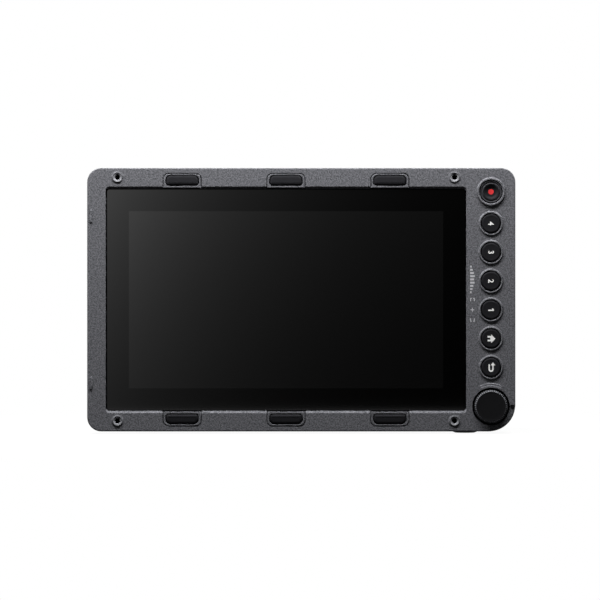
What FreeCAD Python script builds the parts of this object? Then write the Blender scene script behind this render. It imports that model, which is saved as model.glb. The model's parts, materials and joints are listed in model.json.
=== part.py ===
import FreeCAD
import Part
import math
import os

# Camera field monitor, upright, in millimetres.
# The pieces are modelled on a bench: X to the right, Y back from the bezel's front face,
# Z up from the bottom edge.
# The finished pieces are then moved so that the bottom mounting thread's mouth is the origin.

# Body
body_width = 212.0
body_height = 130.4
bezel_depth = 10.0
housing_depth = 24.0
corner_radius = 7.0
jog_corner_radius = 13.0
front_round = 0.6
seam_bevel = 0.4
overrun = 1.0
tolerance = 0.001
slip = 0.02

# Screen stack
side_border = 9.4
column_border = 24.5
level_border = 10.2
window_side_bevel = 0.45
window_level_bevel = 1.1
window_bevel_depth = 0.85
window_radius = 1.6
glass_recess = 0.9
glass_thickness = 1.8
glass_gap = 0.25
glass_edge_bevel = 0.2
gasket_thickness = 0.5
gasket_inset = 0.5
gasket_width = 5.0
ledge_thickness = 2.0
mask_side = 11.55
mask_level = 11.4
lcd_border = 3.0
lcd_gap = 0.5
lcd_thickness = 2.8
backlight_border = 2.0
backlight_thickness = 4.0
frame_gap = 0.3
frame_sheet = 1.0
frame_flange = 5.0
frame_pocket_gap = 0.6
panel_screw_inset = 2.5
panel_screw_radius = 1.0
panel_screw_grip = 1.6
panel_screw_head_radius = 1.8
panel_screw_head = 1.0

# Bumpers above and below the screen
bumper_pitch = 51.4
carrier_width = 19.2
carrier_height = 7.7
carrier_depth = 2.4
carrier_radius = 3.0
carrier_gap = 0.12
carrier_setback = 0.45
carrier_rebate = 0.4
carrier_rebate_depth = 0.6
carrier_bevel = 0.2
bumper_width = 16.0
bumper_height = 4.8
bumper_offset = 1.68
bumper_slot = 1.6
bumper_gap = 0.3
bumper_proud = 0.15
bumper_round = 1.15
bumper_outer_radius = 2.4
bumper_inner_radius = 1.3

# Hood screw bosses round the screen
hood_inset = 5.65
hood_margin = 5.28
hood_rise = 0.32
hood_boss_radius = 3.15
hood_boss_bevel = 0.8
hood_boss_height = 0.4
hood_hole_radius = 1.25
hood_hole_depth = 7.0
hood_sink_radius = 2.2

# Ridges near the left edge
ridge_inset = 1.9
ridge_end_inset = 23.9
ridge_length = 6.2
ridge_width = 1.5
ridge_height = 0.3
ridge_bevel = 0.25

# Button column
column_shift = 0.325
back_button_z = 31.7
button_pitch = 14.25
rec_pitch = 15.7
rec_inset = 11.75
cap_radius = 4.65
cap_bevel = 0.7
cap_bevel_drop = 0.4
rec_cap_radius = 5.4
rec_dish_radius = 3.9
rec_dish_depth = 0.5
rec_dish_slope = 0.7
cap_gap = 0.45
cap_proud = 0.15
rec_cap_sink = 0.1
collar_wall = 1.2
collar_height = 0.5
rec_collar_wall = 1.45
rec_collar_height = 0.75
collar_slope = 0.65
collar_mouth_bevel = 0.25
flange_overhang = 0.9
flange_thickness = 0.8
button_travel = 0.8
press_gap = 0.2
front_wall = 2.2
stem_radius = 1.6
stem_entry = 1.6
switch_size = 6.0
switch_height = 3.2
switch_gap = 0.15
pocket_rib = 1.8
pocket_wall = 2.6
pocket_radius = 2.0
board_sheet = 1.2
board_gap = 0.5
board_boss_radius = 2.2
board_boss_offset = 6.9
board_screw_radius = 1.0
board_screw_grip = 4.0
board_screw_head_radius = 1.8
board_screw_head = 1.0

# Jog wheel and its encoder
jog_z = 12.4
wheel_radius = 8.5
wheel_bevel = 1.2
wheel_proud = 1.6
wheel_face_dish = 0.25
wheel_gap = 0.3
wheel_wall = 2.0
knurl_count = 72
knurl_depth = 0.3
jog_travel = 0.5
well_radius = 9.35
well_depth = 5.9
ledge_drop = 1.1
ledge_fall = 1.5
thumb_bevel = 1.6
jog_floor = 2.0
guard_radius = 11.7
guard_step_radius = 10.6
guard_width = 11.4
guard_step_width = 9.8
guard_step = 0.3
guard_bevel = 0.45
shaft_radius = 3.0
shaft_entry = 2.2
running_gap = 0.05
bushing_radius = 3.5
bushing_end = 0.3
nut_flats = 10.0
nut_height = 1.6
washer_radius = 5.6
washer_height = 0.5
encoder_size = 12.5
encoder_gap = 0.75
encoder_length = 6.7
encoder_floor = 0.6
plunger_radius = 3.7
plunger_thickness = 1.0
encoder_board_size = 13.5

# Rear housing
housing_wall = 2.4
housing_back = 2.6
housing_round = 2.0
tray_round = 1.5
connector_strip = 24.0
fin_margin = 25.0
fin_pitch = 5.6
fin_slot = 3.0
fin_depth = 4.0
fin_end_inset = 21.2
fin_slab = 6.5
fin_border = 4.0
seal_inset = 0.9
seal_width = 1.0
seal_depth = 0.8
screw_edge = 5.2
screw_spread = 52.0
screw_radius = 1.5
screw_grip = 5.5
screw_seat_share = 0.5
screw_head_radius = 2.75
screw_head = 3.0
screw_well_gap = 0.25
screw_socket_flats = 2.5
screw_socket_depth = 1.4
post_wall = 1.8

# Boards inside
standoff_radius = 2.5
standoff_height = 4.0
main_board_room = 13.6
main_board_overhang = 1.56
main_board_inset = 0.9
main_board_sheet = 1.6
standoff_inset = 4.0
main_screw_radius = 1.25
main_screw_grip = 3.0
main_screw_head_radius = 2.2
main_screw_head = 1.4
processor_size = 26.0
chip_height = 2.0
memory_width = 9.0
memory_length = 13.0
memory_pitch = 15.0
memory_count = 4
memory_offset = 24.0
pad_thickness = 1.5

# Mounting threads, 1/4 inch 20 to the inch
thread_radius = 2.55
thread_length = 8.0
insert_radius = 5.0
insert_floor = 1.5
insert_wall = 2.5

# Power button under the body
power_inset = 24.0
power_cap_radius = 3.95
power_collar_radius = 6.9
power_collar_shoulder = 6.1
power_collar_tip = 4.9
power_collar_height = 1.35
power_shoulder_share = 0.65
power_sink = 0.3
power_board_width = 24.0
power_board_depth = 11.0
power_post_radius = 2.2
power_post_offset = 8.5

# Sockets on the flank of the housing
socket_rise = 8.0
flank_nut_gap = 0.4
jack_drop = 32.4
jack_pitch = 22.0
jack_flange_radius = 7.0
jack_flange = 2.0
jack_radius = 4.8
jack_length = 10.0
jack_bore_radius = 4.1
jack_bore_depth = 8.5
jack_lug_radius = 1.0
jack_lug_reach = 0.9
jack_lug_inset = 2.4
jack_thread_radius = 6.0
jack_tail = 7.0
jack_hole_gap = 0.1
jack_nut_flats = 14.0
jack_nut_height = 2.4
insulator_radius = 2.4
insulator_recess = 1.0
contact_radius = 1.0
contact_bore_radius = 0.5
contact_bore_depth = 4.0
control_drop = 30.0
control_radius = 6.2
control_length = 6.0
control_bore_radius = 4.5
control_bore_depth = 6.5
control_tail = 7.0
control_seat_radius = 4.0
pin_hole_count = 7
pin_hole_radius = 0.5
pin_hole_depth = 2.0
pin_circle_share = 0.62

# Worked out from the sizes above
full_turn = 360
hex_sides = 6
along_x = FreeCAD.Vector(1, 0, 0)
along_y = FreeCAD.Vector(0, 1, 0)
along_z = FreeCAD.Vector(0, 0, 1)
body_left = -body_width / 2
body_right = body_width / 2
screen_x = (side_border - column_border) / 2
screen_z = body_height / 2
window_width = body_width - side_border - column_border
window_height = body_height - 2 * level_border
active_width = window_width - 2 * mask_side
active_height = window_height - 2 * mask_level
hood_spacing_x = window_width - 2 * hood_inset
hood_spacing_z = window_height + 2 * hood_margin
hood_z = screen_z + hood_rise
back_face = bezel_depth + housing_depth
mount_depth = bezel_depth + housing_depth / 2
glass_back = glass_recess + glass_thickness
ledge_front = glass_back + gasket_thickness
ledge_back = ledge_front + ledge_thickness
lcd_width = active_width + 2 * lcd_border
lcd_height = active_height + 2 * lcd_border
lcd_back = glass_back + lcd_thickness
backlight_width = lcd_width + 2 * backlight_border
backlight_height = lcd_height + 2 * backlight_border
backlight_back = lcd_back + backlight_thickness
frame_back = backlight_back + frame_sheet
frame_width = backlight_width + 2 * (frame_gap + frame_sheet)
frame_height = backlight_height + 2 * (frame_gap + frame_sheet)
flange_width = frame_width + 2 * frame_flange
flange_height = frame_height + 2 * frame_flange
frame_pocket_right = screen_x + flange_width / 2 + frame_pocket_gap
window_right = screen_x + window_width / 2 + window_side_bevel
pocket_left = max(frame_pocket_right, window_right) + pocket_rib
pocket_right = body_right - pocket_wall
column_x = (pocket_left + pocket_right) / 2 + column_shift
switch_front = front_wall + flange_thickness + button_travel + press_gap
board_front = switch_front + switch_height
board_back = board_front + board_sheet
jog_floor_back = well_depth + jog_floor
wheel_foot = well_depth - jog_travel - wheel_gap
nut_front = well_depth - washer_height - nut_height
bushing_front = nut_front - bushing_end
wheel_roof = bushing_front - jog_travel - wheel_gap
shaft_front = wheel_roof - shaft_entry
encoder_back = jog_floor_back + encoder_length
plunger_back = encoder_back - encoder_floor - jog_travel - press_gap
plunger_front = plunger_back - plunger_thickness
panel_x = body_left + connector_strip
panel_inner = panel_x + housing_wall
socket_room = socket_rise + jack_nut_flats / 2 + flank_nut_gap + housing_back
tray_depth = housing_depth - socket_room
tray_back = bezel_depth + tray_depth
screw_seat = tray_depth * screw_seat_share
socket_y = tray_back + socket_rise
slab_front = back_face - fin_slab
main_board_front = frame_back + standoff_height
main_board_back = main_board_front + main_board_sheet
chip_back = main_board_back + chip_height
pad_back = chip_back + pad_thickness
main_board_left = panel_inner + main_board_room
main_board_right = screen_x + frame_width / 2 + main_board_overhang
main_board_width = main_board_right - main_board_left
main_board_height = frame_height - 2 * main_board_inset
main_board_x = (main_board_left + main_board_right) / 2
fin_x = (panel_x + body_right) / 2
fin_count = int((body_right - panel_x - 2 * fin_margin) / fin_pitch) + 1
fin_length = body_height - 2 * fin_end_inset
insert_length = thread_length + insert_floor
rec_button_z = body_height - rec_inset
cap_face = -collar_height - cap_proud
rec_cap_face = rec_cap_sink - rec_collar_height
button_steps = int((rec_button_z - rec_pitch - back_button_z + tolerance) / button_pitch)
button_heights = [back_button_z + button_pitch * step for step in range(button_steps + 1)]
jack_z = body_height - jack_drop
control_z = jack_z - jack_pitch - control_drop
power_x = body_right - power_inset
power_seat = housing_wall
power_switch_bottom = power_seat + flange_thickness + button_travel + press_gap
power_board_bottom = power_switch_bottom + switch_height


def vector(x, y, z):
    return FreeCAD.Vector(x, y, z)


def block(left, right, front, back, bottom, top):
    return Part.makeBox(right - left, back - front, top - bottom, vector(left, front, bottom))


def rod_x(y, z, radius, left, right):
    return Part.makeCylinder(radius, right - left, vector(left, y, z), along_x)


def rod_y(x, z, radius, front, back):
    return Part.makeCylinder(radius, back - front, vector(x, front, z), along_y)


def rod_z(x, y, radius, bottom, top):
    return Part.makeCylinder(radius, top - bottom, vector(x, y, bottom), along_z)


def rounded_wire(left, right, bottom, top, radii, depth):
    # radii run from the bottom left corner to the right, then up and round
    corners = ((left, bottom), (right, bottom), (right, top), (left, top))
    headings = ((0, -1), (1, 0), (0, 1), (-1, 0))
    arcs = []
    for index, (corner_x, corner_z) in enumerate(corners):
        radius = radii[index]
        arrive_x, arrive_z = headings[index]
        leave_x, leave_z = headings[(index + 1) % len(headings)]
        start = vector(corner_x - arrive_x * radius, depth, corner_z - arrive_z * radius)
        end = vector(corner_x + leave_x * radius, depth, corner_z + leave_z * radius)
        reach = radius * (1 - math.sqrt(0.5))
        middle = vector(corner_x + (leave_x - arrive_x) * reach, depth,
                        corner_z + (leave_z - arrive_z) * reach)
        arcs.append((start, middle, end))
    edges = []
    for index, (start, middle, end) in enumerate(arcs):
        if radii[index] > 0:
            edges.append(Part.Arc(start, middle, end).toShape())
        edges.append(Part.LineSegment(end, arcs[(index + 1) % len(arcs)][0]).toShape())
    return Part.Wire(edges)


def plate(left, right, bottom, top, radii, front, back):
    face = Part.Face(rounded_wire(left, right, bottom, top, radii, front))
    return face.extrude(vector(0, back - front, 0))


def centred_wire(x, z, width, height, radius, depth):
    return rounded_wire(x - width / 2, x + width / 2, z - height / 2, z + height / 2, [radius] * 4, depth)


def centred_plate(x, z, width, height, radius, front, back):
    return Part.Face(centred_wire(x, z, width, height, radius, front)).extrude(vector(0, back - front, 0))


def turned(outline, x, z):
    # revolves an outline of (radius, depth) points about the depth axis through x, z
    points = [vector(x + radius, depth, z) for radius, depth in outline]
    face = Part.Face(Part.makePolygon(points + points[:1]))
    return face.revolve(vector(x, 0, z), along_y, full_turn)


def turned_x(outline, y, z):
    # revolves an outline of (radius, x) points about the X axis through y, z
    points = [vector(x, y + radius, z) for radius, x in outline]
    face = Part.Face(Part.makePolygon(points + points[:1]))
    return face.revolve(vector(0, y, z), along_x, full_turn)


def turned_z(outline, x, y):
    # revolves an outline of (radius, height) points about the Z axis through x, y
    points = [vector(x + radius, y, height) for radius, height in outline]
    face = Part.Face(Part.makePolygon(points + points[:1]))
    return face.revolve(vector(x, y, 0), along_z, full_turn)


def hex_y(x, z, flats, front, back):
    radius = flats / 2 / math.cos(math.pi / hex_sides)
    angles = [2 * math.pi * side / hex_sides for side in range(hex_sides)]
    points = [vector(x + radius * math.cos(angle), front, z + radius * math.sin(angle)) for angle in angles]
    return Part.Face(Part.makePolygon(points + points[:1])).extrude(vector(0, back - front, 0))


def hex_x(y, z, flats, left, right):
    radius = flats / 2 / math.cos(math.pi / hex_sides)
    # two flats look forward and back
    angles = [math.pi * (2 * side + 1) / hex_sides for side in range(hex_sides)]
    points = [vector(left, y + radius * math.cos(angle), z + radius * math.sin(angle)) for angle in angles]
    return Part.Face(Part.makePolygon(points + points[:1])).extrude(vector(right - left, 0, 0))


def edges_at_depth(solid, depth):
    return [
        edge for edge in solid.Edges
        if abs(edge.BoundBox.YMin - depth) < tolerance and abs(edge.BoundBox.YMax - depth) < tolerance
    ]


def save(name, shape):
    placed = shape.copy()
    placed.translate(vector(0, -mount_depth, 0))
    placed.exportStep("parts/" + name + ".step")


def outline_plate(inset, front, back):
    radii = [corner_radius - inset, jog_corner_radius - inset, corner_radius - inset, corner_radius - inset]
    return plate(body_left + inset, body_right - inset, inset, body_height - inset, radii, front, back)


def outline_ring(inset, width, front, back):
    inner = outline_plate(inset + width, front - overrun, back + overrun)
    return outline_plate(inset, front, back).cut(inner)


# Places of what repeats


def hood_places():
    return [
        (screen_x + side * hood_spacing_x / 2, hood_z + level * hood_spacing_z / 2)
        for side in (-1, 1) for level in (-1, 1)
    ]


def bumper_places():
    columns = (("left", -1), ("middle", 0), ("right", 1))
    rows = (("top", 1), ("bottom", -1))
    return [
        (row + "_" + column, screen_x + step * bumper_pitch, level)
        for row, level in rows for column, step in columns
    ]


def button_gap_heights():
    # midway between buttons, where bosses and screws have room
    return [(low + high) / 2 for low, high in zip(button_heights, button_heights[1:])]


def housing_screw_places():
    gaps = button_gap_heights()
    places = [
        (screen_x + side * bumper_pitch, level)
        for side in (-1, 1) for level in (screw_edge, body_height - screw_edge)
    ]
    places += [(body_left + screw_edge, screen_z + side * screw_spread / 2) for side in (-1, 1)]
    places += [(body_right - screw_edge, z) for z in (gaps[len(gaps) // 4], gaps[-1])]
    return places


def board_screw_places():
    gaps = button_gap_heights()
    return [(column_x - board_boss_offset, z) for z in (gaps[0], gaps[-2])]


def panel_screw_places():
    reach_x = flange_width / 2 - panel_screw_inset
    reach_z = flange_height / 2 - panel_screw_inset
    return [
        (screen_x + step * reach_x, screen_z + level * reach_z)
        for step in (-1, 0, 1) for level in (-1, 1)
    ]


def standoff_places():
    reach_x = main_board_width / 2 - standoff_inset
    reach_z = main_board_height / 2 - standoff_inset
    return [
        (main_board_x + side * reach_x, screen_z + level * reach_z)
        for side in (-1, 1) for level in (-1, 1)
    ]


# Front bezel


def collar(z, bore, wall, height):
    outer = bore + wall
    outline = [
        (bore, overrun), (outer, overrun), (outer, 0), (outer - collar_slope, -height),
        (bore + collar_mouth_bevel, -height), (bore, collar_mouth_bevel - height),
    ]
    return turned(outline, column_x, z)


def hood_boss(x, z):
    outline = [
        (0, overrun), (hood_boss_radius, overrun), (hood_boss_radius, 0),
        (hood_boss_radius - hood_boss_bevel, -hood_boss_height), (0, -hood_boss_height),
    ]
    return turned(outline, x, z)


def hood_hole(x, z):
    sink = hood_sink_radius - hood_hole_radius
    top = -hood_boss_height - overrun
    outline = [
        (0, top), (hood_sink_radius + overrun, top), (hood_hole_radius, sink - hood_boss_height),
        (hood_hole_radius, hood_hole_depth), (0, hood_hole_depth),
    ]
    return turned(outline, x, z)


def ridge(level):
    z = screen_z + level * (screen_z - ridge_end_inset)
    body = centred_plate(body_left + ridge_inset, z, ridge_width, ridge_length, ridge_width / 2 - slip,
                         -ridge_height, overrun)
    return body.makeChamfer(ridge_bevel, edges_at_depth(body, -ridge_height))


def guard_layer(radius, width, height):
    # each step of the guard ends in a bevel as high as the step
    outline = [
        (0, overrun), (radius, overrun), (radius, guard_step - height), (radius - guard_bevel, -height),
        (0, -height),
    ]
    ring = turned(outline, column_x, jog_z)
    return ring.common(block(column_x - width / 2, column_x + width / 2, -height, overrun,
                             jog_z, jog_z + radius))


def thumb_cut():
    # the lower right quadrant round the wheel slopes back to the corner, between two bevelled ends
    far = jog_corner_radius + overrun
    deep = ledge_drop + ledge_fall
    half = thumb_bevel / 2
    mouth = half + overrun * thumb_bevel / deep
    profile = [(-mouth, -overrun), (half, deep), (far, deep), (far, -overrun)]
    across = [vector(column_x + reach, depth, jog_z - far) for reach, depth in profile]
    down = [vector(column_x - far, depth, jog_z - reach) for reach, depth in profile]
    wedge_across = Part.Face(Part.makePolygon(across + across[:1])).extrude(vector(0, 0, 2 * far))
    wedge_down = Part.Face(Part.makePolygon(down + down[:1])).extrude(vector(2 * far, 0, 0))
    cone = turned([(0, -overrun), (far, -overrun), (far, deep), (well_radius, ledge_drop), (0, ledge_drop)],
                  column_x, jog_z)
    return wedge_across.common(wedge_down).common(cone)


def window_cut():
    opening = centred_plate(screen_x, screen_z, window_width, window_height, window_radius,
                            -overrun, ledge_front)
    # the bevels run on to the overrun in front of the face
    mouth_share = 1 + overrun / window_bevel_depth
    side, level = mouth_share * window_side_bevel, mouth_share * window_level_bevel
    wide = centred_wire(screen_x, screen_z, window_width + 2 * side, window_height + 2 * level,
                        window_radius + side, -overrun)
    narrow = centred_wire(screen_x, screen_z, window_width, window_height, window_radius, window_bevel_depth)
    return opening.fuse(Part.makeLoft([wide, narrow], True, True))


def carrier_outline(x, level, start, gap, front, back):
    # a D shape that starts beside the window's edge and is round on the side away from it
    edge = screen_z + level * window_height / 2
    near, far = edge + level * start, edge + level * (carrier_height + gap)
    bottom, top = min(near, far), max(near, far)
    round_side = carrier_radius + gap
    radii = [0, 0, round_side, round_side] if level > 0 else [round_side, round_side, 0, 0]
    return plate(x - carrier_width / 2 - gap, x + carrier_width / 2 + gap, bottom, top, radii, front, back)


def bezel_raised():
    raised = [collar(z, cap_radius + cap_gap, collar_wall, collar_height) for z in button_heights]
    raised.append(collar(rec_button_z, rec_cap_radius + cap_gap, rec_collar_wall, rec_collar_height))
    raised += [hood_boss(x, z) for x, z in hood_places()]
    raised += [ridge(level) for level in (-1, 1)]
    raised.append(guard_layer(guard_radius, guard_width, guard_step))
    raised.append(guard_layer(guard_step_radius, guard_step_width, 2 * guard_step))
    return raised


def bezel_bosses():
    bosses = [
        rod_y(x, z, screw_radius + post_wall, front_wall / 2, bezel_depth)
        for x, z in housing_screw_places() if x > pocket_left
    ]
    bosses += [rod_y(x, z, board_boss_radius, front_wall / 2, board_front) for x, z in board_screw_places()]
    return bosses


def control_pocket():
    bottom = jog_z + well_radius + pocket_wall / 2
    top = body_height - pocket_wall
    return plate(pocket_left, pocket_right, bottom, top, [pocket_radius] * 4,
                 front_wall, bezel_depth + overrun)


def bezel_cuts():
    flange_gap = 2 * frame_pocket_gap
    pocket_size = encoder_size + 2 * encoder_gap
    cuts = [
        window_cut(),
        centred_plate(screen_x, screen_z, lcd_width + 2 * lcd_gap, lcd_height + 2 * lcd_gap, lcd_gap,
                      ledge_front - overrun, ledge_back + overrun),
        centred_plate(screen_x, screen_z, flange_width + flange_gap, flange_height + flange_gap,
                      pocket_radius, ledge_back, bezel_depth + overrun),
        rod_y(column_x, jog_z, well_radius, -overrun - 2 * guard_step, well_depth),
        thumb_cut(),
        centred_plate(column_x, jog_z, pocket_size, pocket_size, pocket_radius, jog_floor_back,
                      bezel_depth + overrun),
        rod_y(column_x, jog_z, bushing_radius + running_gap, well_depth - overrun, jog_floor_back + overrun),
        outline_ring(seal_inset, seal_width, bezel_depth - seal_depth, bezel_depth + overrun),
    ]
    cuts += [rod_y(column_x, z, cap_radius + cap_gap, -collar_height - overrun, front_wall + overrun)
             for z in button_heights]
    cuts.append(rod_y(column_x, rec_button_z, rec_cap_radius + cap_gap, -rec_collar_height - overrun,
                      front_wall + overrun))
    cuts += [hood_hole(x, z) for x, z in hood_places()]
    cuts += [carrier_outline(x, level, -overrun, carrier_gap, -overrun, carrier_depth)
             for name, x, level in bumper_places()]
    cuts += [rod_y(x, z, screw_radius + slip, bezel_depth - screw_grip, bezel_depth + overrun)
             for x, z in housing_screw_places()]
    cuts += [rod_y(x, z, board_screw_radius + slip, board_front - board_screw_grip, board_front + overrun)
             for x, z in board_screw_places()]
    cuts += [rod_y(x, z, panel_screw_radius + slip, ledge_back - panel_screw_grip, ledge_back + overrun)
             for x, z in panel_screw_places()]
    return cuts


def front_bezel():
    body = outline_plate(0, 0, bezel_depth)
    body = body.makeFillet(front_round, edges_at_depth(body, 0))
    body = body.makeChamfer(seam_bevel, edges_at_depth(body, bezel_depth))
    body = body.cut(control_pocket())
    body = body.fuse(bezel_raised() + bezel_bosses())
    return body.cut(bezel_cuts()).removeSplitter()


# Screen pieces


def cover_glass():
    glass = centred_plate(screen_x, screen_z, window_width - 2 * glass_gap, window_height - 2 * glass_gap,
                          window_radius - glass_gap, glass_recess, glass_back)
    return glass.makeChamfer(glass_edge_bevel, edges_at_depth(glass, glass_recess))


def glass_gasket():
    width = window_width - 2 * (glass_gap + gasket_inset)
    height = window_height - 2 * (glass_gap + gasket_inset)
    outer = centred_plate(screen_x, screen_z, width, height, window_radius, glass_back, ledge_front)
    return outer.cut(centred_plate(screen_x, screen_z, width - 2 * gasket_width, height - 2 * gasket_width,
                                   window_radius, glass_back - overrun, ledge_front + overrun))


def lcd_panel():
    return centred_plate(screen_x, screen_z, lcd_width, lcd_height, lcd_gap, glass_back, lcd_back)


def backlight_unit():
    return centred_plate(screen_x, screen_z, backlight_width, backlight_height, lcd_gap,
                         lcd_back, backlight_back)


def panel_frame():
    tray = centred_plate(screen_x, screen_z, frame_width, frame_height, frame_sheet, ledge_back, frame_back)
    flange = centred_plate(screen_x, screen_z, flange_width, flange_height, pocket_radius, ledge_back,
                           ledge_back + frame_sheet)
    hollow = centred_plate(screen_x, screen_z, backlight_width + 2 * frame_gap,
                           backlight_height + 2 * frame_gap, lcd_gap, ledge_back - overrun, backlight_back)
    holes = [rod_y(x, z, panel_screw_radius + slip, ledge_back - overrun, ledge_back + frame_sheet + overrun)
             for x, z in panel_screw_places()]
    holes += [rod_y(x, z, main_screw_radius + slip, backlight_back - overrun, frame_back + overrun)
              for x, z in standoff_places()]
    return tray.fuse(flange).cut([hollow] + holes).removeSplitter()


def screw_y(x, z, radius, head_radius, head, tip, seat):
    # the screw is driven from behind, so its head stands behind the seat
    return rod_y(x, z, radius, tip, seat).fuse(rod_y(x, z, head_radius, seat, seat + head)).removeSplitter()


def panel_screws():
    seat = ledge_back + frame_sheet
    return Part.makeCompound([
        screw_y(x, z, panel_screw_radius, panel_screw_head_radius, panel_screw_head,
                ledge_back - panel_screw_grip, seat)
        for x, z in panel_screw_places()
    ])


# Bumpers


def bumper_block(x, level, gap, front, back):
    near = screen_z + level * (window_height / 2 + bumper_offset - gap)
    far = near + level * (bumper_height + 2 * gap)
    outer, inner = bumper_outer_radius + gap, bumper_inner_radius + gap
    radii = [inner, inner, outer, outer] if level > 0 else [outer, outer, inner, inner]
    half = bumper_width / 2 + gap
    return plate(x - half, x + half, min(near, far), max(near, far), radii, front, back)


def bumper_carrier(x, level):
    foot = carrier_outline(x, level, carrier_setback, 0, carrier_rebate_depth, carrier_depth)
    face = carrier_outline(x, level, carrier_setback, -carrier_rebate, 0, carrier_rebate_depth)
    body = foot.fuse(face).cut(bumper_block(x, level, bumper_gap, -overrun, bumper_slot)).removeSplitter()
    return body.makeChamfer(carrier_bevel, edges_at_depth(body, 0))


def rubber_bumper(x, level):
    body = bumper_block(x, level, 0, -bumper_proud, bumper_slot)
    return body.makeFillet(bumper_round, edges_at_depth(body, -bumper_proud))


# Buttons


def button_cap(z, radius, dish_radius, face):
    flange = radius + cap_gap + flange_overhang
    flange_back = front_wall + flange_thickness
    rim = [(radius - cap_bevel, face), (radius, face + cap_bevel_drop)]
    if dish_radius > 0:
        floor = face + rec_dish_depth
        crown = [(0, floor), (dish_radius - rec_dish_slope, floor), (dish_radius, face)]
    else:
        crown = [(0, face)]
    foot = [
        (radius, front_wall), (flange, front_wall), (flange, flange_back), (stem_radius, flange_back),
        (stem_radius, switch_front + stem_entry), (0, switch_front + stem_entry),
    ]
    return turned(crown + rim + foot, column_x, z)


def switch_body(z):
    half = switch_size / 2
    body = block(column_x - half, column_x + half, switch_front, board_front, z - half, z + half)
    well_back = switch_front + stem_entry + button_travel + press_gap
    return body.cut(rod_y(column_x, z, stem_radius + switch_gap, switch_front - overrun, well_back))


def button_switches():
    return Part.makeCompound([switch_body(z) for z in button_heights + [rec_button_z]])


def button_board():
    bottom = button_heights[0] - switch_size
    top = rec_button_z + switch_size
    sheet = plate(pocket_left + board_gap, pocket_right - board_gap, bottom, top, [board_gap] * 4,
                  board_front, board_back)
    notches = [rod_y(x, z, screw_radius + post_wall + board_gap, board_front - overrun, board_back + overrun)
               for x, z in housing_screw_places() if x > pocket_left]
    notches += [rod_y(x, z, board_screw_radius + slip, board_front - overrun, board_back + overrun)
                for x, z in board_screw_places()]
    return sheet.cut(notches)


def button_board_screws():
    return Part.makeCompound([
        screw_y(x, z, board_screw_radius, board_screw_head_radius, board_screw_head,
                board_front - board_screw_grip, board_back)
        for x, z in board_screw_places()
    ])


# Jog wheel and encoder


def knurled_wheel():
    points = []
    for tooth in range(knurl_count):
        for half, radius in ((0, wheel_radius), (1, wheel_radius - knurl_depth)):
            angle = math.pi * (2 * tooth + half) / knurl_count
            points.append(vector(column_x + radius * math.cos(angle), -wheel_proud,
                                 jog_z + radius * math.sin(angle)))
    star = Part.Face(Part.makePolygon(points + points[:1])).extrude(vector(0, wheel_foot + wheel_proud, 0))
    face_radius = wheel_radius - wheel_bevel
    outline = [
        (0, wheel_face_dish - wheel_proud), (face_radius - wheel_bevel, wheel_face_dish - wheel_proud),
        (face_radius, -wheel_proud), (wheel_radius, wheel_bevel - wheel_proud), (wheel_radius, wheel_foot),
        (wheel_radius - wheel_wall, wheel_foot), (wheel_radius - wheel_wall, wheel_roof),
        (shaft_radius + slip, wheel_roof), (shaft_radius + slip, shaft_front), (0, shaft_front),
    ]
    return star.common(turned(outline, column_x, jog_z))


def encoder_shaft():
    return rod_y(column_x, jog_z, shaft_radius, shaft_front, plunger_front)


def encoder_plunger():
    return rod_y(column_x, jog_z, plunger_radius, plunger_front, plunger_back)


def encoder_body():
    case = centred_plate(column_x, jog_z, encoder_size, encoder_size, encoder_gap,
                         jog_floor_back, encoder_back)
    bushing = rod_y(column_x, jog_z, bushing_radius, bushing_front, jog_floor_back)
    bore = rod_y(column_x, jog_z, shaft_radius + running_gap, bushing_front - overrun, plunger_front)
    chamber = rod_y(column_x, jog_z, plunger_radius + running_gap, plunger_front - press_gap,
                    encoder_back - encoder_floor)
    return case.fuse(bushing).cut([bore, chamber])


def encoder_washer():
    ring = rod_y(column_x, jog_z, washer_radius, well_depth - washer_height, well_depth)
    return ring.cut(rod_y(column_x, jog_z, bushing_radius + slip, nut_front, well_depth + overrun))


def encoder_nut():
    nut = hex_y(column_x, jog_z, nut_flats, nut_front, well_depth - washer_height)
    return nut.cut(rod_y(column_x, jog_z, bushing_radius + slip, nut_front - overrun, well_depth))


def encoder_board():
    return centred_plate(column_x, jog_z, encoder_board_size, encoder_board_size, encoder_gap, encoder_back,
                         encoder_back + board_sheet)


# Rear housing


def housing_shell():
    body = outline_plate(0, bezel_depth, back_face)
    body = body.makeChamfer(seam_bevel, edges_at_depth(body, bezel_depth))
    strip = block(body_left - overrun, panel_x, tray_back, back_face + overrun,
                  -overrun, body_height + overrun)
    body = body.cut(strip)
    body = body.makeFillet(housing_round, edges_at_depth(body, back_face))
    tray_edges = [
        edge for edge in edges_at_depth(body, tray_back)
        if edge.BoundBox.XMin < panel_x - tolerance
    ]
    return body.makeFillet(tray_round, tray_edges)


def housing_cavity():
    inner = outline_plate(housing_wall, bezel_depth - overrun, back_face - housing_back)
    deep = inner.common(block(panel_inner, body_right, bezel_depth - overrun, back_face, 0, body_height))
    # the shallow part always clears the panel frame's back
    shallow_back = max(tray_back - housing_wall, frame_back + frame_pocket_gap)
    shallow = outline_plate(housing_wall, bezel_depth - overrun, shallow_back)
    return deep.fuse(shallow)


def fin_places():
    return [fin_x + (step - (fin_count - 1) / 2) * fin_pitch for step in range(fin_count)]


def heat_slab():
    half_x = fin_pitch * (fin_count - 1) / 2 + fin_slot / 2 + fin_border
    half_z = fin_length / 2 + fin_border
    slab = block(fin_x - half_x, fin_x + half_x, slab_front, back_face - housing_back / 2,
                 screen_z - half_z, screen_z + half_z)
    half = processor_size / 2
    pedestal = block(main_board_x - half, main_board_x + half, pad_back, slab_front,
                     screen_z - half, screen_z + half)
    return slab.fuse(pedestal)


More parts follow.
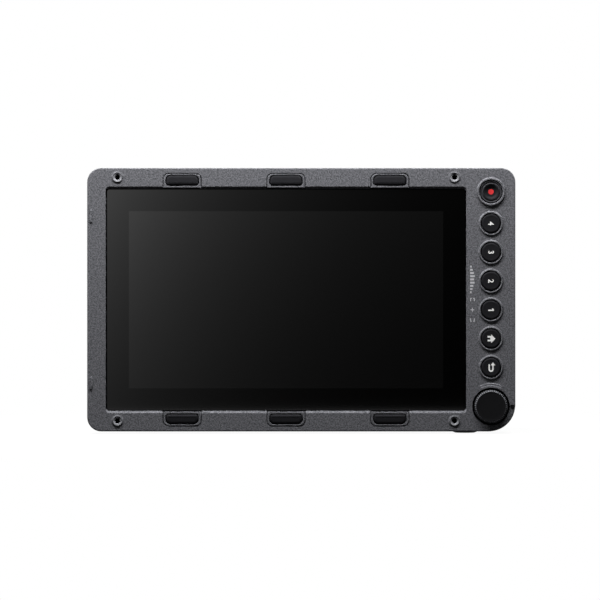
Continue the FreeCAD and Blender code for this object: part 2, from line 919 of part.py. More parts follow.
def mount_bosses():
    radius = insert_radius + insert_wall
    height = insert_length + insert_wall
    return [
        rod_z(0, mount_depth, radius, housing_wall / 2, height),
        rod_z(0, mount_depth, radius, body_height - height, body_height - housing_wall / 2),
    ]


def power_collar():
    outline = [
        (power_cap_radius + cap_gap, housing_wall / 2), (power_collar_radius, housing_wall / 2),
        (power_collar_radius, 0), (power_collar_shoulder, -power_collar_height * power_shoulder_share),
        (power_collar_tip, -power_collar_height),
        (power_cap_radius + cap_gap, -power_collar_height),
    ]
    return turned_z(outline, power_x, mount_depth)


def power_posts():
    return [rod_z(power_x + side * power_post_offset, mount_depth, power_post_radius, housing_wall / 2,
                  power_board_bottom) for side in (-1, 1)]


def jack_heights():
    return [jack_z, jack_z - jack_pitch]


def housing_cuts():
    head_well_radius = screw_head_radius + screw_well_gap
    seat = bezel_depth + screw_seat
    cuts = [
        centred_plate(x, screen_z, fin_slot, fin_length, fin_slot / 2 - slip, back_face - fin_depth,
                      back_face + overrun)
        for x in fin_places()
    ]
    for x, z in housing_screw_places():
        cuts.append(rod_y(x, z, screw_radius + slip, bezel_depth - overrun, seat + overrun))
        cuts.append(rod_y(x, z, head_well_radius, seat, back_face + overrun))
    cuts.append(rod_z(0, mount_depth, insert_radius + slip, -overrun, insert_length))
    cuts.append(rod_z(0, mount_depth, insert_radius + slip, body_height - insert_length,
                      body_height + overrun))
    cuts.append(rod_z(power_x, mount_depth, power_cap_radius + cap_gap, -power_collar_height - overrun,
                      housing_wall + overrun))
    cuts += [rod_z(power_x + side * power_post_offset, mount_depth, board_screw_radius + slip,
                   power_board_bottom - board_screw_grip, power_board_bottom + overrun) for side in (-1, 1)]
    cuts += [rod_x(socket_y, z, jack_thread_radius + jack_hole_gap, panel_x - overrun, panel_inner + overrun)
             for z in jack_heights()]
    cuts.append(rod_x(socket_y, control_z, control_radius + jack_hole_gap, panel_x - overrun,
                      panel_inner + overrun))
    return cuts


def rear_housing():
    shell = housing_shell()
    posts = [
        rod_y(x, z, screw_head_radius + screw_well_gap + post_wall, bezel_depth, back_face)
        for x, z in housing_screw_places()
    ]
    inside = [post.common(shell) for post in posts] + mount_bosses() + power_posts()
    inside += [heat_slab(), power_collar()]
    return shell.cut(housing_cavity()).fuse(inside).cut(housing_cuts()).removeSplitter()


def housing_gasket():
    return outline_ring(seal_inset + slip, seal_width - 2 * slip, bezel_depth - seal_depth, bezel_depth)


def housing_screw(x, z):
    seat = bezel_depth + screw_seat
    top = seat + screw_head
    body = screw_y(x, z, screw_radius, screw_head_radius, screw_head, bezel_depth - screw_grip, seat)
    return body.cut(hex_y(x, z, screw_socket_flats, top - screw_socket_depth, top + overrun))


def housing_screws():
    return Part.makeCompound([housing_screw(x, z) for x, z in housing_screw_places()])


def mount_insert(mouth, heading):
    # the thread's mouth is flush with the body, and heading points from it to the blind end
    end = mouth + heading * insert_length
    bore_end = mouth + heading * thread_length
    body = rod_z(0, mount_depth, insert_radius, min(mouth, end), max(mouth, end))
    return body.cut(rod_z(0, mount_depth, thread_radius, min(mouth, bore_end), max(mouth, bore_end)))


# Boards


def main_board():
    sheet = centred_plate(main_board_x, screen_z, main_board_width, main_board_height, board_gap,
                          main_board_front, main_board_back)
    return sheet.cut([
        rod_y(x, z, main_screw_radius + slip, main_board_front - overrun, main_board_back + overrun)
        for x, z in standoff_places()
    ])


def board_standoffs():
    return Part.makeCompound([
        rod_y(x, z, standoff_radius, frame_back, main_board_front).cut(
            rod_y(x, z, main_screw_radius + slip, frame_back - overrun, main_board_front + overrun))
        for x, z in standoff_places()
    ])


def board_screws():
    return Part.makeCompound([
        screw_y(x, z, main_screw_radius, main_screw_head_radius, main_screw_head,
                main_board_front - main_screw_grip, main_board_back)
        for x, z in standoff_places()
    ])


def chip(x, z, width, height, front, back):
    return block(x - width / 2, x + width / 2, front, back, z - height / 2, z + height / 2)


def memory_chips():
    first = screen_z - memory_pitch * (memory_count - 1) / 2
    return Part.makeCompound([
        chip(main_board_x + memory_offset, first + memory_pitch * row, memory_width, memory_length,
             main_board_back, chip_back)
        for row in range(memory_count)
    ])


# Power switch


def power_button():
    face = power_sink - power_collar_height
    flange = power_cap_radius + cap_gap + flange_overhang
    flange_top = power_seat + flange_thickness
    outline = [
        (0, face), (power_cap_radius - cap_bevel, face), (power_cap_radius, face + cap_bevel_drop),
        (power_cap_radius, power_seat), (flange, power_seat), (flange, flange_top), (stem_radius, flange_top),
        (stem_radius, power_switch_bottom + stem_entry), (0, power_switch_bottom + stem_entry),
    ]
    return turned_z(outline, power_x, mount_depth)


def power_switch():
    half = switch_size / 2
    body = block(power_x - half, power_x + half, mount_depth - half, mount_depth + half, power_switch_bottom,
                 power_board_bottom)
    well_top = power_switch_bottom + stem_entry + button_travel + press_gap
    well = rod_z(power_x, mount_depth, stem_radius + switch_gap, power_switch_bottom - overrun, well_top)
    return body.cut(well)


def power_board():
    top = power_board_bottom + board_sheet
    half_x, half_y = power_board_width / 2, power_board_depth / 2
    sheet = block(power_x - half_x, power_x + half_x, mount_depth - half_y, mount_depth + half_y,
                  power_board_bottom, top)
    return sheet.cut([rod_z(power_x + side * power_post_offset, mount_depth, board_screw_radius + slip,
                            power_board_bottom - overrun, top + overrun) for side in (-1, 1)])


def power_board_screws():
    seat = power_board_bottom + board_sheet
    screws = []
    for side in (-1, 1):
        x = power_x + side * power_post_offset
        shank = rod_z(x, mount_depth, board_screw_radius, power_board_bottom - board_screw_grip, seat)
        head = rod_z(x, mount_depth, board_screw_head_radius, seat, seat + board_screw_head)
        screws.append(shank.fuse(head).removeSplitter())
    return Part.makeCompound(screws)


# Sockets


def sdi_jack(z):
    tip = panel_x - jack_flange - jack_length
    outline = [
        (jack_bore_radius, tip), (jack_radius, tip), (jack_radius, panel_x - jack_flange),
        (jack_flange_radius, panel_x - jack_flange), (jack_flange_radius, panel_x),
        (jack_thread_radius, panel_x), (jack_thread_radius, panel_inner + jack_tail),
        (insulator_radius, panel_inner + jack_tail),
        (insulator_radius, tip + jack_bore_depth), (jack_bore_radius, tip + jack_bore_depth),
    ]
    shell = turned_x(outline, socket_y, z)
    reach = jack_radius + jack_lug_reach
    lugs = rod_y(tip + jack_lug_inset, z, jack_lug_radius, socket_y - reach, socket_y + reach)
    lugs = lugs.cut(rod_x(socket_y, z, jack_bore_radius, tip, panel_x))
    return shell.fuse(lugs)


def jack_insulator(z):
    tip = panel_x - jack_flange - jack_length + insulator_recess
    tail = panel_inner + jack_tail
    tube = rod_x(socket_y, z, insulator_radius - slip, tip, tail)
    return tube.cut(rod_x(socket_y, z, contact_radius + slip, tip - overrun, tail + overrun))


def jack_contact(z):
    tip = panel_x - jack_flange - jack_length + insulator_recess
    pin = rod_x(socket_y, z, contact_radius, tip, panel_inner + jack_tail)
    return pin.cut(rod_x(socket_y, z, contact_bore_radius, tip - overrun, tip + contact_bore_depth))


def flank_nut(z, bore):
    far = panel_inner + jack_nut_height
    nut = hex_x(socket_y, z, jack_nut_flats, panel_inner, far)
    return nut.cut(rod_x(socket_y, z, bore + slip, panel_inner - overrun, far + overrun))


def control_socket():
    tip = panel_x - jack_flange - control_length
    outline = [
        (control_bore_radius, tip), (control_radius, tip), (control_radius, panel_x - jack_flange),
        (jack_flange_radius, panel_x - jack_flange), (jack_flange_radius, panel_x), (control_radius, panel_x),
        (control_radius, panel_inner + control_tail), (control_seat_radius, panel_inner + control_tail),
        (control_seat_radius, tip + control_bore_depth), (control_bore_radius, tip + control_bore_depth),
    ]
    return turned_x(outline, socket_y, control_z)


def control_insert():
    front = panel_x - jack_flange - control_length + control_bore_depth
    back = panel_inner + control_tail
    core = rod_x(socket_y, control_z, control_seat_radius - slip, front, back)
    circle = control_seat_radius * pin_circle_share
    holes = []
    for pin in range(pin_hole_count):
        angle = 2 * math.pi * pin / pin_hole_count
        pin_y = socket_y + circle * math.cos(angle)
        pin_z = control_z + circle * math.sin(angle)
        holes.append(rod_x(pin_y, pin_z, pin_hole_radius, front - overrun, front + pin_hole_depth))
    return core.cut(holes)


def save_all():
    os.makedirs("parts", exist_ok=True)
    save("front_bezel", front_bezel())
    save("cover_glass", cover_glass())
    save("glass_gasket", glass_gasket())
    save("lcd_panel", lcd_panel())
    save("backlight_unit", backlight_unit())
    save("panel_frame", panel_frame())
    save("panel_screws", panel_screws())
    for name, x, level in bumper_places():
        save("bumper_carrier_" + name, bumper_carrier(x, level))
        save("rubber_bumper_" + name, rubber_bumper(x, level))
    save("rec_button", button_cap(rec_button_z, rec_cap_radius, rec_dish_radius, rec_cap_face))
    names = ["back_button", "home_button"]
    names += ["user_button_" + str(step - 1) for step in range(len(names), button_steps + 1)]
    for name, z in zip(names, button_heights):
        save(name, button_cap(z, cap_radius, 0, cap_face))
    save("button_switches", button_switches())
    save("button_board", button_board())
    save("button_board_screws", button_board_screws())
    save("jog_wheel", knurled_wheel())
    save("encoder_shaft", encoder_shaft())
    save("encoder_plunger", encoder_plunger())
    save("encoder_body", encoder_body())
    save("encoder_washer", encoder_washer())
    save("encoder_nut", encoder_nut())
    save("encoder_board", encoder_board())
    save("rear_housing", rear_housing())
    save("housing_gasket", housing_gasket())
    save("housing_screws", housing_screws())
    save("bottom_mount_insert", mount_insert(0, 1))
    save("top_mount_insert", mount_insert(body_height, -1))
    save("main_board", main_board())
    save("board_standoffs", board_standoffs())
    save("board_screws", board_screws())
    save("processor", chip(main_board_x, screen_z, processor_size, processor_size,
                           main_board_back, chip_back))
    save("memory_chips", memory_chips())
    save("thermal_pad", chip(main_board_x, screen_z, processor_size, processor_size, chip_back, pad_back))
    save("power_button", power_button())
    save("power_switch", power_switch())
    save("power_board", power_board())
    save("power_board_screws", power_board_screws())
    jacks = jack_heights()
    save("sdi_in_jack", sdi_jack(jacks[0]))
    save("sdi_out_jack", sdi_jack(jacks[1]))
    save("jack_insulators", Part.makeCompound([jack_insulator(z) for z in jacks]))
    save("jack_contacts", Part.makeCompound([jack_contact(z) for z in jacks]))
    save("jack_nuts", Part.makeCompound([flank_nut(z, jack_thread_radius) for z in jacks]))
    save("control_socket", control_socket())
    save("control_insert", control_insert())
    save("control_nut", flank_nut(control_z, control_radius))


save_all()
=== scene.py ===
import bpy
import json
import math
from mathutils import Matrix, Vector


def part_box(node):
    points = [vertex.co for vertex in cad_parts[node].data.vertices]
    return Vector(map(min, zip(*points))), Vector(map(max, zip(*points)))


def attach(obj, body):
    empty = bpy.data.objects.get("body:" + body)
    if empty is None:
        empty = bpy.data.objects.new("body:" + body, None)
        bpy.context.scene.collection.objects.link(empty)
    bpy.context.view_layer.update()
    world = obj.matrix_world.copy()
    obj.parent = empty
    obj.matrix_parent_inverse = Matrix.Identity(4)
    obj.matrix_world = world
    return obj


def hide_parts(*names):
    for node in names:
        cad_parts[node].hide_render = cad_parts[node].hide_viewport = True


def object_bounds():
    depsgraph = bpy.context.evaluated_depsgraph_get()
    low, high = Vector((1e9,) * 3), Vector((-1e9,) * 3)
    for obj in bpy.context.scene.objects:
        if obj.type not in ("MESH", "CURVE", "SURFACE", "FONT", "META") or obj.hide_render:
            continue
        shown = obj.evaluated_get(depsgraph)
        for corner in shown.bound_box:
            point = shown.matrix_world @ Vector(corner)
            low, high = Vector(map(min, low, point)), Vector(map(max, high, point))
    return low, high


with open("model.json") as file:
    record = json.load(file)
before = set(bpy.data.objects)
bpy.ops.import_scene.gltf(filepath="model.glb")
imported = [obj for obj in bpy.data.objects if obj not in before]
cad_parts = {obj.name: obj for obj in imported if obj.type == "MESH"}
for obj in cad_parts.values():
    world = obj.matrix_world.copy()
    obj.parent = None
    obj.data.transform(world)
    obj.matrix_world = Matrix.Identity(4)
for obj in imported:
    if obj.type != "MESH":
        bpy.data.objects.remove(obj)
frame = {"nodes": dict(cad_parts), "record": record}
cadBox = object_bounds()
nodes = frame["nodes"]
mm = 0.001               # the frame is in metres, sizes below are in millimetres
touch = 0.01 * mm        # how near a point counts as on a face
bezelLow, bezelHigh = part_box("front_bezel")
middleZ = (bezelLow.z + bezelHigh.z) / 2
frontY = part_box("bumper_carrier_top_left")[0].y      # the carriers lie flush with the front of the frame
print("frame loaded with", len(nodes), "nodes")


# small tools

def linear(hexColour):
    # sRGB hex to the linear colour that a shader takes
    channels = [int(hexColour[i:i + 2], 16) / 255 for i in (1, 3, 5)]
    return [c / 12.92 if c <= 0.04045 else ((c + 0.055) / 1.055) ** 2.4 for c in channels] + [1.0]


def addNode(owner, kind, links=None, values=None, **settings):
    # settings may change a node's sockets, so they come first
    node = owner.node_tree.nodes.new(kind)
    for name, value in settings.items():
        setattr(node, name, value)
    for name, value in (values or {}).items():
        node.inputs[name].default_value = value
    for name, socket in (links or {}).items():
        owner.node_tree.links.new(socket, node.inputs[name])
    return node


def clearNodes(owner):
    # a material or a world starts with no nodes
    owner.use_nodes = True
    owner.node_tree.nodes.clear()
    return owner


def startMaterial(name, **sockets):
    # a principled shader with its even values set on its own sockets
    material = clearNodes(bpy.data.materials.new(name))
    shader = addNode(material, "ShaderNodeBsdfPrincipled", values=sockets)
    addNode(material, "ShaderNodeOutputMaterial", links={"Surface": shader.outputs["BSDF"]})
    place = addNode(material, "ShaderNodeTexCoord").outputs["Object"]
    return material, shader, place


def link(material, socket, shader, name):
    material.node_tree.links.new(socket, shader.inputs[name])


def axisDistance(point, centre):
    # how far a point is from the line along Y through a centre
    return math.hypot(point.x - centre.x, point.z - centre.z)


def startPiece():
    # nothing is selected when the next piece begins
    if bpy.context.mode != "OBJECT":
        bpy.ops.object.mode_set(mode="OBJECT")
    bpy.ops.object.select_all(action="DESELECT")


def pick(piece):
    startPiece()
    piece.select_set(True)
    bpy.context.view_layer.objects.active = piece


def finishPiece(piece, name, body, material, replaced=(), smoothAngle=32):
    # the piece's place goes into its mesh, and the piece then rides on its body
    pick(piece)
    bpy.ops.object.transform_apply(location=True, rotation=True, scale=True)
    piece.name = name
    piece.data.name = name
    piece.data.materials.clear()
    piece.data.materials.append(material)
    bpy.ops.object.shade_smooth_by_angle(angle=math.radians(smoothAngle))
    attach(piece, body)
    if replaced:
        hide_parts(*replaced)
    return piece


def turnProfile(profile, centreX, centreZ, steps):
    # one vertex is extruded along the profile of (radius, y) points and spun about the Y axis
    startPiece()
    radius, depth = profile[0]
    bpy.ops.mesh.primitive_plane_add(size=mm, location=(centreX + radius, depth, centreZ))
    bpy.ops.object.transform_apply(location=True)
    bpy.ops.object.mode_set(mode="EDIT")
    bpy.ops.mesh.select_mode(type="VERT")
    bpy.ops.mesh.select_all(action="SELECT")
    bpy.ops.mesh.merge(type="CENTER")
    for (fromRadius, fromDepth), (toRadius, toDepth) in zip(profile, profile[1:]):
        move = (toRadius - fromRadius, toDepth - fromDepth, 0)
        bpy.ops.mesh.extrude_region_move(TRANSFORM_OT_translate={"value": move})
    bpy.ops.mesh.select_all(action="SELECT")
    bpy.ops.mesh.spin(steps=steps, angle=2 * math.pi, center=(centreX, 0, centreZ), axis=(0, 1, 0))
    bpy.ops.mesh.select_all(action="SELECT")
    bpy.ops.mesh.remove_doubles(threshold=touch / 5)
    bpy.ops.mesh.normals_make_consistent(inside=False)
    bpy.ops.object.mode_set(mode="OBJECT")
    return bpy.context.object


def selectIn(piece, domain, test):
    # selects vertices, edges or faces of an object in object mode by a test of their place
    pick(piece)
    bpy.ops.object.mode_set(mode="EDIT")
    bpy.ops.mesh.select_mode(type={"vertices": "VERT", "edges": "EDGE", "polygons": "FACE"}[domain])
    bpy.ops.mesh.select_all(action="DESELECT")
    bpy.ops.object.mode_set(mode="OBJECT")
    points = [v.co for v in piece.data.vertices]
    for part in getattr(piece.data, domain):
        corners = [part.co] if domain == "vertices" else [points[i] for i in part.vertices]
        part.select = test(corners)
    bpy.ops.object.mode_set(mode="EDIT")


# materials

def insideBox(material, place, centre, reach, soft):
    # one inside a box of X and Z about a centre, with a soft edge
    parts = addNode(material, "ShaderNodeSeparateXYZ", links={"Vector": place})
    inside = []
    for axis, middle, limit in (("X", centre.x, reach.x), ("Z", centre.z, reach.z)):
        away = addNode(material, "ShaderNodeMath", operation="SUBTRACT", links={0: parts.outputs[axis]},
                       values={1: middle})
        far = addNode(material, "ShaderNodeMath", operation="ABSOLUTE", links={0: away.outputs[0]})
        edge = addNode(material, "ShaderNodeMapRange", links={"Value": far.outputs[0]},
                       values={"From Min": limit + soft, "From Max": limit - soft})
        inside.append(edge.outputs[0])
    both = addNode(material, "ShaderNodeMath", operation="MULTIPLY", links={0: inside[0], 1: inside[1]})
    return both.outputs[0]


def powderCoat(name, dark, light, paintedSideShade=None):
    # structured powder coat on cast aluminium: a matte anthracite orange peel with light specks, drawn
    # coarser than it is so that it shows, and painted shade, black, on the front frame's upright window
    # bevels
    look = {"grain": 1.1, "fine": 0.55, "relief": 0.1}
    coat, shader, place = startMaterial(name, **{"Roughness": 0.6, "Specular IOR Level": 0.02})
    grain = addNode(coat, "ShaderNodeTexNoise", links={"Vector": place},
                    values={"Scale": 1 / (look["grain"] * mm), "Detail": 2.0, "Roughness": 0.65})
    fine = addNode(coat, "ShaderNodeTexNoise", links={"Vector": place},
                   values={"Scale": 1 / (look["fine"] * mm), "Detail": 1.0})
    both = addNode(coat, "ShaderNodeMath", links={0: grain.outputs["Fac"], 1: fine.outputs["Fac"]},
                   operation="ADD")
    tone = addNode(coat, "ShaderNodeMapRange", links={"Value": both.outputs[0]},
                   values={"From Min": 0.72, "From Max": 1.28})
    colour = addNode(coat, "ShaderNodeMix", links={"Factor": tone.outputs[0]}, data_type="RGBA",
                     values={"A": linear(dark), "B": linear(light)})
    bump = addNode(coat, "ShaderNodeBump", links={"Height": both.outputs[0]},
                   values={"Strength": 0.6, "Distance": look["relief"] * mm})
    # painted shade: the bevel at the window's upright sides is coloured black
    if paintedSideShade:
        low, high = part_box("cover_glass")
        reach = (high - low) / 2 + Vector((paintedSideShade["side"], 0, paintedSideShade["level"])) * mm
        inside = insideBox(coat, place, (low + high) / 2, reach, paintedSideShade["soft"] * mm)
        colour = addNode(coat, "ShaderNodeMix", links={"Factor": inside, "A": colour.outputs["Result"]},
                         data_type="RGBA", values={"B": linear(paintedSideShade["colour"])})
    link(coat, colour.outputs["Result"], shader, "Base Color")
    link(coat, bump.outputs["Normal"], shader, "Normal")
    return coat


def grainyPlastic(name, dark, light, grain, roughness, relief):
    # spark eroded moulding: an even colour broken by a matte grain, coarse enough to show, with little shine
    plastic, shader, place = startMaterial(name, **{"Roughness": roughness, "Specular IOR Level": 0.03})
    grit = addNode(plastic, "ShaderNodeTexNoise", links={"Vector": place},
                   values={"Scale": 1 / (grain * mm), "Detail": 3.0, "Roughness": 0.6})
    tone = addNode(plastic, "ShaderNodeMapRange", links={"Value": grit.outputs["Fac"]},
                   values={"From Min": 0.3, "From Max": 0.7})
    colour = addNode(plastic, "ShaderNodeMix", links={"Factor": tone.outputs[0]}, data_type="RGBA",
                     values={"A": linear(dark), "B": linear(light)})
    bump = addNode(plastic, "ShaderNodeBump", links={"Height": grit.outputs["Fac"]},
                   values={"Strength": 0.5, "Distance": relief * mm})
    link(plastic, colour.outputs["Result"], shader, "Base Color")
    link(plastic, bump.outputs["Normal"], shader, "Normal")
    return plastic


def turnedMetal(name, dark, light, grain, roughness):
    # turned or plated metal: hairline tool marks that stretch along X
    look = {"stretch": (0.1, 1.0, 1.0), "unevenness": 0.08}
    metal, shader, place = startMaterial(name, Metallic=1.0)
    stretch = addNode(metal, "ShaderNodeMapping", links={"Vector": place}, values={"Scale": look["stretch"]})
    lines = addNode(metal, "ShaderNodeTexNoise", links={"Vector": stretch.outputs["Vector"]},
                    values={"Scale": 1 / (grain * mm), "Detail": 3.0})
    colour = addNode(metal, "ShaderNodeMix", links={"Factor": lines.outputs["Fac"]}, data_type="RGBA",
                     values={"A": linear(dark), "B": linear(light)})
    polish = addNode(metal, "ShaderNodeMapRange", links={"Value": lines.outputs["Fac"]},
                     values={"To Min": roughness - look["unevenness"],
                             "To Max": roughness + look["unevenness"]})
    link(metal, colour.outputs["Result"], shader, "Base Color")
    link(metal, polish.outputs[0], shader, "Roughness")
    return metal


# the teeth of the jog wheel, for its finish and its mesh: fewer than on the solid, so that they show
knurl = {"teeth": 48, "perTooth": 4, "depth": 0.5}


def anodisedBlack():
    # black anodised aluminium: matte, with a faint cloud and turning lines round the wheel's axis, wider
    # apart than a lathe leaves them so that they show, and a chamfer ring paler as bare metal and painted
    # highlight
    # the palest colour is the chamfer ring's: part bare metal, part painted highlight
    look = {"dark": "#0f0f10", "light": "#19191b", "paleHighlight": "#67686c", "grain": 0.5, "line": 0.18,
            "relief": 0.01, "paleFrom": 7.25, "paleFull": 7.45, "paleEnd": 7.9, "paleGone": 8.3,
            "grooveFrom": 7.3, "grooveFull": 7.55, "grooveWave": 0.3, "tipWave": 0.0}
    ringSpacing = 0.314        # at scale one, a wave texture has its rings this far apart
    low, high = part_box("jog_wheel")
    axis = (low + high) / 2
    dye, shader, place = startMaterial("blackAnodised", **{"Specular IOR Level": 0.05})
    centred = addNode(dye, "ShaderNodeMapping", links={"Vector": place},
                      values={"Location": (-axis.x, -axis.y, -axis.z)})
    rings = addNode(dye, "ShaderNodeTexWave", links={"Vector": centred.outputs["Vector"]},
                    wave_type="RINGS", rings_direction="Y",
                    values={"Scale": ringSpacing / (look["line"] * mm), "Distortion": 0.4})
    cloud = addNode(dye, "ShaderNodeTexNoise", links={"Vector": place},
                    values={"Scale": 1 / (look["grain"] * mm), "Detail": 2.0})
    colour = addNode(dye, "ShaderNodeMix", links={"Factor": cloud.outputs["Fac"]}, data_type="RGBA",
                     values={"A": linear(look["dark"]), "B": linear(look["light"])})
    flat = addNode(dye, "ShaderNodeVectorMath", operation="MULTIPLY", links={0: centred.outputs["Vector"]},
                   values={1: (1, 0, 1)})
    reach = addNode(dye, "ShaderNodeVectorMath", operation="LENGTH", links={0: flat.outputs["Vector"]})
    edge = addNode(dye, "ShaderNodeMapRange", links={"Value": reach.outputs["Value"]},
                   values={"From Min": look["paleFrom"] * mm, "From Max": look["paleFull"] * mm})
    side = addNode(dye, "ShaderNodeMapRange", links={"Value": reach.outputs["Value"]},
                   values={"From Min": look["paleGone"] * mm, "From Max": look["paleEnd"] * mm})
    rim = addNode(dye, "ShaderNodeMath", operation="MULTIPLY", links={0: edge.outputs[0], 1: side.outputs[0]})
    # painted highlight on the tips of the teeth, and painted shade that keeps the grooves black
    parts = addNode(dye, "ShaderNodeSeparateXYZ", links={"Vector": centred.outputs["Vector"]})
    turn = addNode(dye, "ShaderNodeMath", operation="ARCTAN2",
                   links={0: parts.outputs["Z"], 1: parts.outputs["X"]})
    teeth = addNode(dye, "ShaderNodeMath", operation="MULTIPLY", links={0: turn.outputs[0]},
                    values={1: knurl["teeth"]})
    wave = addNode(dye, "ShaderNodeMath", operation="COSINE", links={0: teeth.outputs[0]})
    tips = addNode(dye, "ShaderNodeMapRange", links={"Value": wave.outputs[0]},
                   values={"From Min": look["grooveWave"], "From Max": look["tipWave"]})
    groove = addNode(dye, "ShaderNodeMapRange", links={"Value": reach.outputs["Value"]},
                     values={"From Min": look["grooveFrom"] * mm, "From Max": look["grooveFull"] * mm})
    whole = addNode(dye, "ShaderNodeMix", values={"A": 1.0},
                    links={"Factor": groove.outputs[0], "B": tips.outputs[0]})
    # the mask of the paler chamfer: painted highlight on the tips, painted shade in the grooves
    highlightMask = addNode(dye, "ShaderNodeMath", operation="MULTIPLY",
                     links={0: rim.outputs[0], 1: whole.outputs["Result"]})
    paleHighlight = addNode(dye, "ShaderNodeMix", data_type="RGBA", values={"B": linear(look["paleHighlight"])},
                   links={"Factor": highlightMask.outputs[0], "A": colour.outputs["Result"]})
    polish = addNode(dye, "ShaderNodeMapRange", links={"Value": rings.outputs["Fac"]},
                     values={"To Min": 0.42, "To Max": 0.52})
    bump = addNode(dye, "ShaderNodeBump", links={"Height": rings.outputs["Fac"]},
                   values={"Strength": 0.12, "Distance": look["relief"] * mm})
    link(dye, paleHighlight.outputs["Result"], shader, "Base Color")
    link(dye, polish.outputs[0], shader, "Roughness")
    link(dye, bump.outputs["Normal"], shader, "Normal")
    return dye


def coverGlass():
    # bonded cover glass: a black printed mask round the panel, whose own film gives a second, weaker shine
    look = {"mask": "#010101", "panel": "#090909", "maskSide": 11.0, "maskLevel": 10.9, "soft": 0.12,
            "secondShine": 0.36}
    low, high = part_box("cover_glass")
    shine = {"Roughness": 0.05, "IOR": 1.5, "Coat IOR": 1.5, "Coat Roughness": 0.06}
    glass, shader, place = startMaterial("maskedCoverGlass", **shine)
    reach = (high - low) / 2 - Vector((look["maskSide"], 0, look["maskLevel"])) * mm
    window = insideBox(glass, place, (low + high) / 2, reach, look["soft"] * mm)
    colour = addNode(glass, "ShaderNodeMix", links={"Factor": window}, data_type="RGBA",
                     values={"A": linear(look["mask"]), "B": linear(look["panel"])})
    second = addNode(glass, "ShaderNodeMath", operation="MULTIPLY", links={0: window},
                     values={1: look["secondShine"]})
    link(glass, colour.outputs["Result"], shader, "Base Color")
    link(glass, second.outputs[0], shader, "Coat Weight")
    return glass


def boardLaminate():
    # glass fibre board under green solder mask, with paler copper tracks
    look = {"mask": "#0f3d22", "track": "#1c5c36", "pitch": 1.6}
    board, shader, place = startMaterial("solderMaskBoard", Roughness=0.35)
    cells = addNode(board, "ShaderNodeTexBrick", links={"Vector": place},
                    values={"Scale": 0.5 / (look["pitch"] * mm), "Mortar Size": 0.03,
                            "Color1": linear(look["mask"]), "Color2": linear(look["mask"]),
                            "Mortar": linear(look["track"])})
    link(board, cells.outputs["Color"], shader, "Base Color")
    return board


def printInk(name, colour, faded, patch=0.6):
    # pad printed ink: opaque, a little thin in patches
    pigment, shader, place = startMaterial(name, Roughness=0.5)
    thin = addNode(pigment, "ShaderNodeTexNoise", links={"Vector": place}, values={"Scale": 1 / (patch * mm)})
    shade = addNode(pigment, "ShaderNodeMix", links={"Factor": thin.outputs["Fac"]}, data_type="RGBA",
                    values={"A": linear(faded), "B": linear(colour)})
    link(pigment, shade.outputs["Result"], shader, "Base Color")
    return pigment


coatColours = ("#47484b", "#76767b")
# the painted shade reaches past the glass at its sides, and ends short of its top and bottom
windowSideShade = {"side": 0.44, "level": -0.6, "soft": 0.05, "colour": "#08080a"}
finishes = {
    "coated_metal": powderCoat("structuredPowderCoat", *coatColours),
    "black_rubber": grainyPlastic("mouldedRubber", "#1f1f21", "#242427", grain=0.5, roughness=0.62,
                                  relief=0.012),
    "screen_glass": coverGlass(),
    "panel_black": grainyPlastic("polariserFilm", "#060607", "#0b0b0d", grain=0.8, roughness=0.25,
                                 relief=0.002),
    "diffuser_white": grainyPlastic("diffuserSheet", "#d9d9d4", "#e8e8e4", grain=0.8, roughness=0.55,
                                    relief=0.01),
    "sheet_steel": turnedMetal("rolledSteelSheet", "#8d8f92", "#b4b6b9", grain=0.3, roughness=0.34),
    "black_abs": grainyPlastic("grainedAbs", "#1b1b1d", "#232326", grain=0.35, roughness=0.5, relief=0.015),
    "black_anodised": anodisedBlack(),
    "bright_steel": turnedMetal("turnedSteel", "#8f9194", "#c3c5c8", grain=0.15, roughness=0.28),
    "black_steel": turnedMetal("blackOxideSteel", "#1c1c1e", "#2c2c2f", grain=0.15, roughness=0.4),
    "nickel_plate": turnedMetal("nickelPlate", "#a5a198", "#cfcbc2", grain=0.2, roughness=0.2),
    "board_laminate": boardLaminate(),
    "switch_plastic": grainyPlastic("glassFilledNylon", "#202022", "#2c2c2e", grain=0.4, roughness=0.5,
                                    relief=0.02),
    "white_insulator": grainyPlastic("whitePtfe", "#d8d8d3", "#ecece8", grain=0.5, roughness=0.4,
                                     relief=0.01),
    "gold_contact": turnedMetal("goldPlate", "#b98a2f", "#e0b860", grain=0.15, roughness=0.2),
    "chip_resin": grainyPlastic("epoxyResin", "#161617", "#212123", grain=0.3, roughness=0.5, relief=0.02),
    "pad_silicone": grainyPlastic("gapPadSilicone", "#7f8b9c", "#93a0b2", grain=0.6, roughness=0.7,
                                  relief=0.03),
}
slotOf = {part["node"]: part["material_slot"] for part in frame["record"]["subparts"]}
for nodeName, node in nodes.items():
    node.material_slots[0].material = finishes[slotOf[nodeName]]
# the front frame's coat carries painted shade, black, on the bevel at the window's upright sides
nodes["front_bezel"].material_slots[0].material = powderCoat("sideShadedPowderCoat", *coatColours, windowSideShade)
ringPlastic = grainyPlastic("greyAbsRing", "#2e2e31", "#38383b", grain=0.35, roughness=0.5, relief=0.015)
whiteInk = printInk("whitePrint", "#fbfbf9", "#ececea")
redInk = printInk("redPrint", "#d92a2e", "#b91f24")
greyInk = printInk("greyPrint", "#c9c9cc", "#adadb1")
print("materials on", len(nodes), "nodes")


# camera and light: the camera's numbers are in millimetres, and those of lamps, floor and card in metres

shot = {"pixels": 600, "mmPerPixel": 0.4949, "distance": 1600, "sensor": 36, "offsetX": -0.63,
        "offsetZ": -0.12, "clipStart": 50}


def photoCamera():
    # straight from the front, at the photograph's scale on the front of the frame
    place = (shot["offsetX"] * mm, frontY - shot["distance"] * mm, middleZ + shot["offsetZ"] * mm)
    bpy.ops.object.camera_add(location=place, rotation=(math.pi / 2, 0, 0))
    camera = bpy.context.object
    camera.data.sensor_width = shot["sensor"]
    camera.data.lens = shot["sensor"] * shot["distance"] / (shot["pixels"] * shot["mmPerPixel"])
    camera.data.clip_start = shot["clipStart"] * mm
    bpy.context.scene.camera = camera
    bpy.context.scene.view_settings.view_transform = "Standard"


